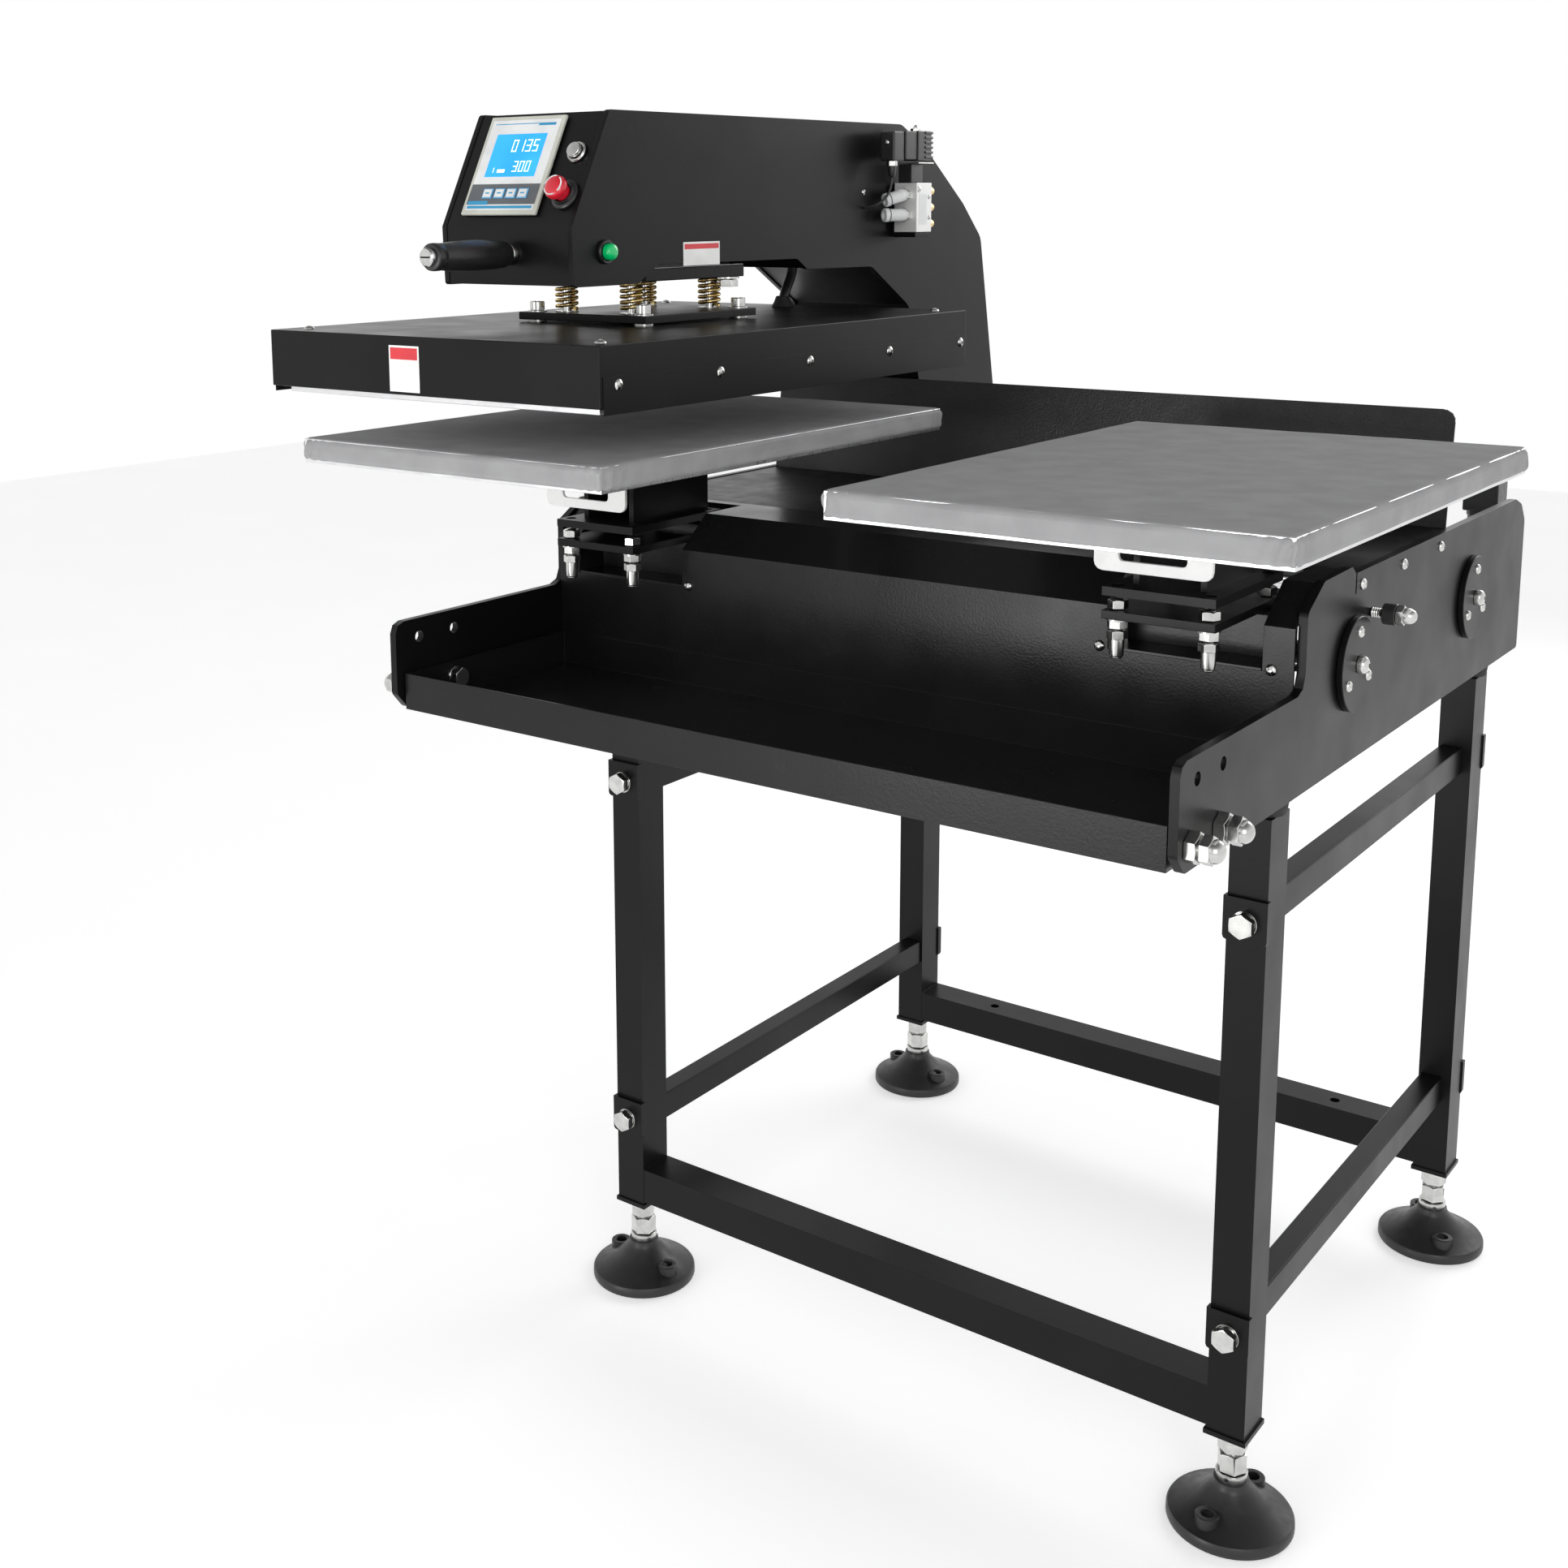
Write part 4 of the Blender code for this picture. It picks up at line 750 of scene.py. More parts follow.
def regulator():
    """Filter and pressure regulator behind the box, on a bracket from the right side plate."""
    node = "air_regulator"
    low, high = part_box(node)
    reach, half, plate_y = 0.0210, 0.0195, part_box("side_plate_right")[1].y
    x, y = low.x + reach, high.y - reach
    filter_bowl = [(0, 0.850), (0.008, 0.8505), (0.0140, 0.854), (0.0172, 0.861), (0.0178, 0.870),
                   (0.0178, 0.904), (0.0190, 0.905), (0.0190, 0.911), (0, 0.911)]
    knob = [(0, 0.944), (0.0140, 0.944), (0.0152, 0.946), (0.0152, 0.970), (0.0140, 0.9735), (0, 0.9740)]
    pieces = [lathe(filter_bowl, (x, y, 0), UP, PLASTIC, 40),
              slab((x - half, y - half, 0.9105), (x + half, y + half, 0.9440), PLASTIC, 0.002, 3),
              lathe(knob, (x, y, 0), UP, PLASTIC, 24, 20)]
    bracket = slab((x + 0.010, plate_y + CLEAR, 0.872), (high.x - CLEAR, plate_y + 0.0030, 0.905), ZINC,
                   0.0005)
    pieces.append(slab((x - 0.008, plate_y + 0.0028, 0.878), (x + 0.012, y - 0.010, 0.900), PLASTIC, 0.001))
    finished(joined(pieces), "regulator", "stand", [node])
    finished(bracket, "regulator_bracket", "stand")


# ---- platen supports ------------------------------------------------------------------------------
SMALL_NUT = hex_prism(0.0160, 0.0078, 0.0008)
SADDLE_BOLT = hex_bolt(0.0132, 0.0055, 0.0085)
SUPPORT_LOW, SUPPORT_HIGH = 0.9066, 0.9154
STUD_TOP = 0.9258


def levelling_stud(x, y, bottom, dx):
    """One stud through the support plate, with a nut on each side. Long ones also have a round tip."""
    spot, pitch = (x, y, 0), 0.0016
    count = int((STUD_TOP - bottom) / pitch)
    thread = thread_outline(0.0047, 0.0052, bottom, pitch, count)
    made = [lathe([(0, bottom)] + thread + [(0, bottom + count * pitch)], spot, UP, ZINC, 18)]
    if bottom < 0.9:
        tip = [(0, 0.8705), (0.0040, 0.8710), (0.0062, 0.8735), (0.0066, 0.8790), (0.0066, 0.8880),
               (0, 0.8885)]
        made.append(copied(SMALL_NUT, Matrix.Translation((x, y, 0.8885))))
        made.append(lathe(tip, spot, UP, ZINC, 24))
    for k, z in enumerate((0.8982, 0.9160)):
        turn = Matrix.Rotation(0.35 * k + dx * 9, 4, "Z")
        made.append(copied(SMALL_NUT, Matrix.Translation((x, y, z)) @ turn))
    made.append(lathe(ring_outline(0.005, 0.0098, 0.9065, 0.9050), spot, UP, ZINC, 28))
    return made


def supports():
    for side, station in STATIONS:
        softened(f"support_plate_{side}", COAT, f"lower_support_{side}", 0.0006,
                 drop=lambda p: p.z < SUPPORT_LOW or p.z > SUPPORT_HIGH)
        softened(f"platen_saddle_{side}", COAT, f"saddle_{side}", 0.0006)
        softened(f"release_handle_{side}", WHITE, f"release_{side}", 0.0010, segments=3)
        softened(f"platen_board_{side}", ALUMINIUM, f"board_{side}", 0.0006)
        metal = []
        for dx in (-0.042, 0.042):
            for y, bottom in ((-0.082, 0.871), (0.048, 0.9000)):
                metal += levelling_stud(station + dx, SHIFT_Y + y, bottom, dx)
        for _, sign in SIDES:
            for y in (-0.030, 0.050):
                spot = (station + sign * 0.0335, SHIFT_Y + y, 0.985)
                metal.append(copied(SADDLE_BOLT, Matrix.Translation(spot) @ along((sign, 0, 0))))
        finished(joined(metal), f"levelling_studs_{side}", "stand")


def corner_share(offset, half):
    """1 at the platen's four upright corners, falling to 0 over about 70 mm."""
    gap = math.hypot(half.x - abs(offset.x), half.y - abs(offset.y))
    return max(0.0, 1.0 - gap / 0.07) ** 1.5


def draped(offset, half, seed):
    """Where a point of the cover's box goes: soft edges, ripples on the sides, pleats at the corners."""
    radius = 0.0075
    inner = Vector([max(-(half[i] - radius), min(half[i] - radius, offset[i])) for i in range(3)])
    out = offset - inner
    direction, wall = Vector((0, 0, 0)), 0.0
    if out.length > 1e-9:
        direction = out.normalized()
        wall = max(0.0, 1.0 - abs(direction.z))
    place = inner + direction * radius
    corner = corner_share(offset, half)
    along_edge = offset.x - offset.y if offset.x * offset.y > 0 else offset.x + offset.y
    pleat = math.sin(along_edge * 420.0 + 6.0 * noise.noise(offset * 30 + Vector((seed, 0, 0))))
    ripple = noise.noise(Vector((offset.x * 16, offset.y * 16, offset.z * 60 + seed)))
    fine = noise.noise(Vector((offset.x * 55, offset.y * 55, offset.z * 120 - seed)))
    push = wall * (0.0020 * corner * pleat + 0.0014 * ripple + 0.0005 * fine)
    sag = 0.0012 * wall * math.sin(offset.x * 9 + seed) * math.cos(offset.y * 7)
    place += direction * (push + sag - 0.0009)
    if offset.z > 0 and wall < 0.9:
        rim = min(half.x - abs(offset.x), half.y - abs(offset.y))
        place.z += 0.0004 * ripple - 0.0002 * fine * corner - 0.0003 * math.exp(-rim / 0.02)
    if offset.z < 0 and wall < 0.5:
        place.z += 0.0002 + 0.0002 * fine
    return place


def cloth_cover(side, seed):
    """Woven cover drawn over the padded board: flat top, soft edges, pleats gathered at the corners."""
    node = f"platen_cover_{side}"
    low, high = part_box(node)
    size, centre = high - low, (low + high) / 2
    half, hem = size / 2, 0.030
    bpy.ops.mesh.primitive_cube_add(size=1, location=centre)
    cover = bpy.context.active_object
    cover.scale = size
    settle(cover)
    bpy.ops.object.mode_set(mode="EDIT")
    bpy.ops.mesh.select_all(action="SELECT")
    bpy.ops.mesh.subdivide(number_cuts=90)
    bpy.ops.object.mode_set(mode="OBJECT")
    for vertex in cover.data.vertices:
        offset = vertex.co - centre
        # more points near the edges, where the cloth turns
        for axis in (0, 1):
            t = offset[axis] / half[axis]
            offset[axis] = half[axis] * (1.4 * t - 0.4 * t ** 3)
        vertex.co = centre + draped(offset, half, seed)
    bpy.ops.object.mode_set(mode="EDIT")
    bpy.ops.mesh.select_mode(type="FACE")
    bpy.ops.mesh.select_all(action="DESELECT")
    bpy.ops.object.mode_set(mode="OBJECT")
    for face in cover.data.polygons:
        spot = face.center - centre
        face.select = abs(spot.x) < half.x - hem and abs(spot.y) < half.y - hem and spot.z < 0
    bpy.ops.object.mode_set(mode="EDIT")
    bpy.ops.mesh.delete(type="FACE")
    bpy.ops.object.mode_set(mode="OBJECT")
    modify(cover, "SOLIDIFY", thickness=0.0008, offset=-1)
    only(cover)
    bpy.ops.object.shade_smooth_by_angle(angle=math.radians(60))
    dress(cover, CLOTH)
    finished(cover, f"cloth_cover_{side}", "stand", [node])


# ---- arm ------------------------------------------------------------------------------------------
PANEL_HEAD = Vector((0, -0.162, 1.3575))
PANEL_FOOT = Vector((0, -0.220, 1.2466))
SLOPE = (PANEL_FOOT - PANEL_HEAD).normalized()
NORMAL = Vector((0, SLOPE.z, -SLOPE.y))
PANEL_TURN = Matrix((Vector((1, 0, 0)), -SLOPE, NORMAL)).transposed().to_4x4()
STOP_SPOT = (0.152, 0.092)
POWER_SPOT = (0.149, 0.046)
GRIP_X, GRIP_Z = middle("handle_grip").x, middle("handle_grip").z
GRIP_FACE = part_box("handle_grip")[1].y + 0.0070


def on_panel(across, down, out=0.0):
    """The matrix that stands a piece, made at the origin, on the sloping panel."""
    spot = PANEL_HEAD + SLOPE * down + NORMAL * out
    spot = Vector((ARM_X - ARM_SIDE + across, spot.y + SHIFT_Y, spot.z))
    return Matrix.Translation(spot) @ PANEL_TURN


def on_sheet(obj, *spot):
    obj.data.transform(on_panel(*spot))
    return obj


def above_panel(point):
    head = Vector((0, PANEL_HEAD.y + SHIFT_Y, PANEL_HEAD.z))
    return (Vector((0, point.y, point.z)) - head).dot(NORMAL)


def panel_hardware(point):
    """True for what stands proud of the panel's sheet, above its fold and below it."""
    if point.z < PANEL_FOOT.z:
        return point.y < GRIP_FACE - 0.0022
    return above_panel(point) > 0.0011


def arm():
    softened("arm_housing", COAT, "arm_shell", 0.0011, drop=lambda p: abs(p.x - ARM_X) > ARM_SIDE + 0.0004)
    softened("control_panel", COAT, "panel_sheet", 0.0005, drop=panel_hardware)
    softened("air_cylinder", ALUMINIUM, "cylinder_barrel", 0.0010)


def seven_segment(digit, height):
    """A digit of bars, lying in the XY plane with its lower left corner at the origin."""
    shapes = {"0": "abcdef", "1": "bc", "3": "abgcd", "5": "afgcd"}
    width, bar = height * 0.5, height * 0.11
    bars = {"a": (0, height - bar, width, height), "d": (0, 0, width, bar),
            "g": (0, (height - bar) / 2, width, (height + bar) / 2),
            "b": (width - bar, height / 2, width, height), "c": (width - bar, 0, width, height / 2),
            "e": (0, 0, bar, height / 2), "f": (0, height / 2, bar, height)}
    made = []
    inset = bar * 0.12
    for key in shapes[digit]:
        x0, y0, x1, y1 = bars[key]
        made.append(slab((x0 + inset, y0 + inset, 0), (x1 - inset, y1 - inset, 0.0002), DIGIT, 0))
    return joined(made)


def number(text, height, right, base, lift):
    """Digits in a row that ends at the right edge."""
    made = []
    pitch = height * 0.68
    for k, digit in enumerate(reversed(text)):
        glyph = seven_segment(digit, height)
        glyph.data.transform(Matrix.Translation((right - (k + 1) * pitch, base, lift)))
        made.append(glyph)
    return made


def controller():
    """Cream faceplate, sunk blue display, grey key band with four keys, and blue trim lines."""
    place = (0.0743, 0.060, 0.0008)
    parts = [slab((-0.0495, -0.054, 0), (0.0495, 0.054, 0.0038), CREAM, 0.0012, 3),
             slab((-0.0450, -0.0495, 0.0036), (0.0450, 0.0495, 0.0042), PALE, 0.0003),
             slab((-0.0450, -0.0435, 0.0040), (0.0450, -0.0215, 0.0046), KEY_BAND, 0.0002),
             slab((-0.0400, 0.0445, 0.0041), (0.0400, 0.0452, 0.0045), TRIM_BLUE, 0),
             slab((0.0180, 0.0425, 0.0041), (0.0400, 0.0447, 0.0045), TRIM_BLUE, 0),
             slab((-0.0430, -0.0480, 0.0041), (0.0430, -0.0452, 0.0045), TRIM_BLUE, 0),
             slab((-0.0430, -0.0440, 0.0045), (-0.0170, -0.0400, 0.0048), TRIM_BLUE, 0)]
    bezel = on_sheet(joined(parts), *place)
    finished(bezel, "controller_plate", "travelling_head", ["controller"])
    screen = slab((-0.0330, -0.0135, 0.0041), (0.0330, 0.0335, 0.0047), SCREEN, 0.0002)
    finished(on_sheet(screen, *place), "controller_display", "travelling_head")
    glass = 0.0047
    digits = number("0135", 0.0135, 0.0290, 0.0135, glass) + number("300", 0.0120, 0.0260, -0.0085, glass)
    digits.append(slab((-0.0180, -0.0090, glass), (-0.0080, -0.0055, 0.0048), DIGIT, 0))
    digits.append(slab((-0.0235, -0.0090, glass), (-0.0227, -0.0035, 0.0048), DIGIT, 0))
    finished(on_sheet(joined(digits), *place), "controller_digits", "travelling_head")
    keys = []
    for k in range(4):
        x = -0.0200 + k * 0.0155
        keys.append(slab((x - 0.0065, -0.0375, 0.0044), (x + 0.0065, -0.0265, 0.0056), BLUE_KEY, 0.0012, 3))
        keys.append(slab((x - 0.0052, -0.0362, 0.0053), (x + 0.0052, -0.0278, 0.0059), PALE, 0.0002))
        keys.append(slab((x - 0.0026, -0.0327, 0.0058), (x + 0.0026, -0.0313, 0.0060), TRIM_BLUE, 0))
    finished(on_sheet(joined(keys), *place), "controller_keys", "travelling_head")


def emergency_stop():
    """Red mushroom with a broken white ring round its rim, on a black base."""
    base = [(0.0088, 0.0005), (0.0150, 0), (0.0155, 0.0008), (0.0155, 0.0026), (0.0145, 0.0036),
            (0.0125, 0.0042), (0.0118, 0.0062), (0.0100, 0.0062), (0.0096, 0.0020), (0.0088, 0.0015)]
    black_base = on_sheet(lathe(base, ORIGIN, UP, PLASTIC), *STOP_SPOT, 0.0002)
    finished(black_base, "stop_base", "travelling_head")
    mushroom = [(0, 0.0052), (0.0082, 0.0052), (0.0082, 0.0122), (0.0108, 0.0126), (0.0118, 0.0138),
                (0.0121, 0.0158), (0.0119, 0.0184), (0.0108, 0.0206), (0.0088, 0.0220), (0.0060, 0.0227),
                (0, 0.0229)]
    cap = on_sheet(lathe(mushroom, ORIGIN, UP, RED, 48), *STOP_SPOT)
    finished(cap, "stop_mushroom", "estop", ["estop_button"])
    marks, steps = [], 24
    for k in range(steps):
        if k % 8 < 6:  # three arcs of six marks
            mark = slab((-0.0014, 0.0092, 0.0208), (0.0014, 0.0104, 0.0220), PALE, 0.0002)
            mark.data.transform(Matrix.Rotation(math.radians(360 / steps * k), 4, "Z"))
            marks.append(mark)
    finished(on_sheet(joined(marks), *STOP_SPOT), "stop_ring_marks", "estop")


def push_buttons():
    ring = [(0.0080, 0.0005), (0.0104, 0), (0.0110, 0.0006), (0.0110, 0.0020), (0.0102, 0.0030),
            (0.0086, 0.0030), (0.0080, 0.0024)]
    cap = [(0, 0.0036), (0.0075, 0.0036), (0.0077, 0.0040), (0.0077, 0.0074), (0.0073, 0.0079),
           (0.0050, 0.0081), (0, 0.0081)]
    zinc_ring = on_sheet(lathe(ring, ORIGIN, UP, ZINC), *POWER_SPOT)
    finished(zinc_ring, "power_ring", "travelling_head")
    power = on_sheet(lathe(cap, ORIGIN, UP, BRUSHED), *POWER_SPOT)
    finished(power, "power_cap", "power", ["power_button"])
    collar = [(0.0088, 0.0004), (0.0112, 0), (0.0118, 0.0006), (0.0118, 0.0030), (0.0110, 0.0040),
              (0.0090, 0.0040), (0.0088, 0.0032)]
    lens = [(0, 0.0037), (0.0078, 0.0037), (0.0082, 0.0041), (0.0082, 0.0085), (0.0076, 0.0104),
            (0.0060, 0.0118), (0.0035, 0.0125), (0, 0.0127)]
    for side, sign in SIDES:
        node, axis = f"start_button_{side}", (sign, 0, 0)
        spot = middle(node)
        face = Vector((ARM_X + sign * (ARM_SIDE + 0.0002), spot.y, spot.z))
        black_ring = lathe(collar, face, axis, PLASTIC)
        finished(black_ring, f"start_ring_{side}", "travelling_head")
        finished(lathe(lens, face, axis, GREEN), f"start_lens_{side}", f"start_{side}", [node])


def grip():
    """A zinc stud whose end slot is a flat black bar of painted shade, and a turning black sleeve swollen in
    its middle.
    """
    face = Vector((GRIP_X, GRIP_FACE, GRIP_Z))
    collar = [(0, -0.0005), (0.0102, 0), (0.0108, 0.0006), (0.0108, 0.0050), (0.0100, 0.0062),
              (0.0048, 0.0064), (0.0046, 0.0070), (0, 0.0070)]
    tip = [(0, 0.1102), (0.0084, 0.1102), (0.0090, 0.1108), (0.0090, 0.1150), (0.0078, 0.1164),
           (0.0062, 0.1167), (0, 0.1167)]
    sleeve = [(0.0056, 0.0072), (0.0108, 0.0072), (0.0118, 0.0080), (0.0126, 0.0110), (0.0138, 0.0220),
              (0.0147, 0.0380), (0.0150, 0.0520), (0.0147, 0.0660), (0.0140, 0.0800), (0.0131, 0.0930),
              (0.0126, 0.0970), (0.0124, 0.0985), (0.0130, 0.0995), (0.0132, 0.1060), (0.0128, 0.1090),
              (0.0118, 0.1099), (0.0056, 0.1099), (0.0056, 0.0072)]
    stud = [lathe(collar, face, FORWARD, ZINC),
            rod(face + Vector((0, -0.006, 0)), FORWARD, 0.0046, 0.106, ZINC, 0.0002, 20),
            lathe(tip, face, FORWARD, ZINC)]
    # painted shade: a thin black bar on the stud's tip stands in for the shade inside its slot
    painted_slot_bar = slab((GRIP_X - 0.0060, GRIP_FACE - 0.11695, GRIP_Z - 0.0008),
                    (GRIP_X + 0.0060, GRIP_FACE - 0.1160, GRIP_Z + 0.0008), SLOT_SHADE_PAINT, 0)
    finished(joined(stud), "grip_stud", "travelling_head")
    finished(painted_slot_bar, "grip_stud_slot_painted_shade", "travelling_head")
    handle = lathe(sleeve, face, FORWARD, PLASTIC, 48, 50)
    finished(handle, "grip_handle", "grip", ["handle_grip"])


# ---- valve and cables -----------------------------------------------------------------------------
VALVE_FACE = ARM_X + ARM_SIDE
VALVE_FRONT = VALVE_Y - 0.0132


def from_valve(out, back, up):
    """A point counted from the valve's middle: out of the arm's side, toward the rear, and up."""
    return (VALVE_FACE + out, VALVE_Y + back, VALVE_Z + up)


def valve_block(low, high, finish, edge, segments=2):
    return slab(from_valve(*low), from_valve(*high), finish, edge, segments)


def valve_body():
    """Aluminium body with a plain label, and the black coil and plug on top."""
    front = VALVE_FRONT - VALVE_Y
    body = valve_block((0.0058, front, -0.0285), (0.0365, 0.0205, 0.0285), PALE_ALUMINIUM, 0.0008, 3)
    plain_label = valve_block((0.0364, -0.0080, -0.0200), (0.0367, 0.0090, 0.0160), PALE, 0)
    finished(joined([body, plain_label]), "valve_body", "travelling_head", ["solenoid_valve"])
    coil = [valve_block((0.0003, -0.010, -0.034), (0.0057, 0.016, 0.028), COAT, 0.0006),
            valve_block((0.0040, -0.0120, -0.0345), (0.0340, 0.0190, -0.0290), COAT, 0.0008),
            valve_block((0.010, -0.012, 0.0286), (0.028, 0.014, 0.0500), PLASTIC, 0.0010),
            valve_block((0.0105, -0.011, 0.0540), (0.0365, 0.0195, 0.0880), PLASTIC, 0.0012, 3),
            valve_block((0.013, -0.036, 0.0550), (0.035, -0.0112, 0.0875), PLASTIC, 0.0014, 3),
            valve_block((0.0145, -0.060, 0.0530), (0.0335, -0.0365, 0.0870), PLASTIC, 0.0022, 3)]
    for k in range(6):
        rib = 0.0565 + k * 0.0056
        coil.append(valve_block((0.0098, 0.004, rib), (0.0376, 0.0212, rib + 0.0030), PLASTIC, 0.0007))
    finished(joined(coil), "valve_coil", "travelling_head")


def valve_screws():
    outward = (1, 0, 0)
    metal = [valve_block((0.0080, -0.013, 0.0505), (0.0385, 0.0215, 0.0518), ZINC, 0.0003),
             standing(pan_screw(0.0030, 0.0016), from_valve(0.024, -0.0600, 0.0740), FORWARD),
             standing(hex_prism(0.0105, 0.0036, 0.0006), from_valve(0.0235, 0.004, 0.0879)),
             standing(pan_screw(0.0030, 0.0040), from_valve(0.0235, 0.004, 0.0914)),
             standing(hex_prism(0.0110, 0.0060, 0.0006), from_valve(0.026, -0.052, 0.0475)),
             standing(pan_screw(0.0036, 0.0022), from_valve(0, -0.072, 0.018), outward),
             standing(pan_screw(0.0040, 0.0010), from_valve(0.0365, -0.0080, 0.0210), outward),
             standing(pan_screw(0.0026, 0.0014), from_valve(0.0364, 0.0150, 0.0120), outward),
             standing(pan_screw(0.0026, 0.0014), from_valve(0.0364, 0.0150, -0.0120), outward)]
    finished(joined(metal), "valve_screws", "travelling_head")


def valve_fittings():
    """The lead's gland, two push-in elbows at the front and three brass silencers at the rear."""
    gland = [(0, 0.0343), (0.0017, 0.0343), (0.0030, 0.0345), (0.0042, 0.0370), (0.0048, 0.0420),
             (0.0050, 0.0470), (0.0048, 0.0540), (0, 0.0540)]
    sleeve = lathe(gland, from_valve(0.026, -0.052, 0), UP, PLASTIC, 24)
    finished(sleeve, "valve_gland", "travelling_head")
    swivel = [(0, 0.0045), (0.0068, 0.0045), (0.0072, 0.0055), (0.0072, 0.0120), (0.0066, 0.0165),
              (0.0040, 0.0190), (0, 0.0194)]
    arm_outline = [(0, 0), (0.0066, 0), (0.0072, 0.001), (0.0072, 0.0180), (0.0079, 0.0186),
                   (0.0079, 0.0238), (0.0073, 0.0246), (0.0046, 0.0246), (0.0042, 0.0210), (0, 0.0210)]
    elbows, nuts = [], []
    for level, drop in ((-0.0085, 0.0), (0.0145, -0.26)):
        spot = Vector((VALVE_FACE + 0.0215, VALVE_FRONT, VALVE_Z + level))
        bend = spot + Vector((0.0020, -0.0100, 0))
        toward = Vector((-0.52, -0.85, drop)).normalized()
        nuts.append(standing(hex_prism(0.0135, 0.0050, 0.0006), spot, FORWARD))
        elbows.append(lathe(swivel, spot, FORWARD, PALE, 28))
        elbows.append(lathe(arm_outline, bend, toward, PALE, 28))
        collet = ring_outline(0.0072, 0.0081, 0, 0.0012)
        elbows.append(lathe(collet, bend + toward * 0.0182, toward, KEY_BAND, 28))
    finished(joined(elbows), "valve_elbows", "travelling_head")
    finished(joined(nuts), "valve_elbow_nuts", "travelling_head")
    silencer = [(0, 0.0045), (0.0054, 0.0045), (0.0056, 0.0090), (0.0052, 0.0130), (0.0040, 0.0158),
                (0.0020, 0.0170), (0, 0.0172)]
    backward = (0, 1, 0)
    silencers = []
    for level in (-0.019, 0.0, 0.019):
        spot = Vector(from_valve(0.0270, 0.0204, level))
        silencers.append(standing(hex_prism(0.0125, 0.0050, 0.0006, BRASS), spot, backward))
        silencers.append(lathe(silencer, spot, backward, BRASS, 24))
    finished(joined(silencers), "valve_silencers", "travelling_head")


def tube_along(points, radius, finish, name):
    """A cable as a round tube along a smooth line."""
    curve = bpy.data.curves.new(name, "CURVE")
    curve.dimensions = "3D"
    curve.bevel_depth = radius
    curve.bevel_resolution = 4
    curve.use_fill_caps = True
    spline = curve.splines.new("NURBS")
    spline.points.add(len(points) - 1)
    for control, point in zip(spline.points, points):
        control.co = (*point, 1.0)
    spline.order_u = 4
    spline.use_endpoint_u = True
    spline.resolution_u = 6
    obj = bpy.data.objects.new(name, curve)
    bpy.context.scene.collection.objects.link(obj)
    only(obj)
    bpy.ops.object.convert(target="MESH")
    obj = only(bpy.context.active_object)
    bpy.ops.object.shade_smooth_by_angle(angle=math.radians(50))
    return dress(obj, finish)


def valve_lead():
    y, z = VALVE_Y - 0.052, VALVE_Z
    face = VALVE_FACE
    route = [(face + 0.026, y, z + 0.0345), (face + 0.0259, y - 0.001, z + 0.026),
             (face + 0.0250, y - 0.004, z + 0.016), (face + 0.020, y - 0.011, z + 0.0065),
             (face + 0.011, y - 0.0165, z + 0.001), (face + 0.0004, y - 0.0185, z)]
    lead = tube_along(route, 0.0015, PLASTIC, "valve_lead_tube")
    finished(lead, "valve_lead_tube", "travelling_head", ["valve_lead"])


def heater_cable():
    """From a rubber boot on the heat cover up into the arm."""
    low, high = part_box("heater_cable")
    x = middle("heater_cable").x
    radius, cover_top = 0.0058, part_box("heat_cover")[1].z - 0.0023
    y0, y1 = low.y + 0.006, high.y - 0.006
    route = [(x, y0, low.z - 0.001), (x, y0 + 0.001, low.z + 0.010), (x, y0 + 0.008, low.z + 0.022),
             (x, y1 - 0.002, low.z + 0.036), (x, y1, low.z + 0.050), (x, y1, high.z + 0.010)]
    cable = tube_along(route, radius, PLASTIC, "heater_cable_tube")
    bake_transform(cable)
    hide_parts("heater_cable")
    boot = [(0.0060, 0), (0.0125, 0), (0.0128, 0.0008), (0.0100, 0.0060), (0.0078, 0.0120), (0.0066, 0.0125),
            (0.0060, 0.0120)]
    finished(lathe(boot, (x, y0, cover_top), UP, RUBBER, 28), "heater_cable_boot", "press_head")


# ---- press head -----------------------------------------------------------------------------------
BAR_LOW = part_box("head_spring_front_left")[1].z + CLEAR
BAR_HIGH = BAR_LOW + 0.013
PLATE_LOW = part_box("mount_plate")[0].z + 0.0020
PLATE_HIGH = PLATE_LOW + 0.0080


def coil_spring(low, high):
    """A coil of round wire from one height to another, standing at the origin."""
    wire, radius, turns = 0.0020, 0.0105, 5
    steps = 36 * turns
    bpy.ops.mesh.primitive_circle_add(vertices=14, radius=wire, location=(radius, 0, 0),
                                      rotation=(math.pi / 2, 0, 0))
    coil = settle(bpy.context.active_object)
    modify(coil, "SCREW", angle=2 * math.pi * turns, screw_offset=high - low - 2 * wire, iterations=1,
           steps=steps, render_steps=steps, axis="Z")
    only(coil)
    bpy.ops.object.mode_set(mode="EDIT")
    bpy.ops.mesh.select_all(action="SELECT")
    bpy.ops.mesh.remove_doubles(threshold=0.000001)
    bpy.ops.mesh.fill_holes(sides=0)
    bpy.ops.mesh.select_all(action="SELECT")
    bpy.ops.mesh.normals_make_consistent(inside=False)
    bpy.ops.object.mode_set(mode="OBJECT")
    bpy.ops.object.shade_smooth_by_angle(angle=math.radians(50))
    coil.data.transform(Matrix.Translation((0, 0, low + wire)))
    return dress(coil, YELLOW)


def head_springs():
    """The four coils. Gives each one's middle and its lower and upper heights."""
    springs = []
    for end in ENDS:
        for side, _ in SIDES:
            node = f"head_spring_{end}_{side}"
            spot = middle(node)
            low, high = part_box(node)
            spring = coil_spring(low.z, high.z)
            spring.data.transform(Matrix.Translation((spot.x, spot.y, 0)))
            finished(spring, f"coil_{end}_{side}", "press_head", [node])
            springs.append((spot, low.z, high.z))
    return springs


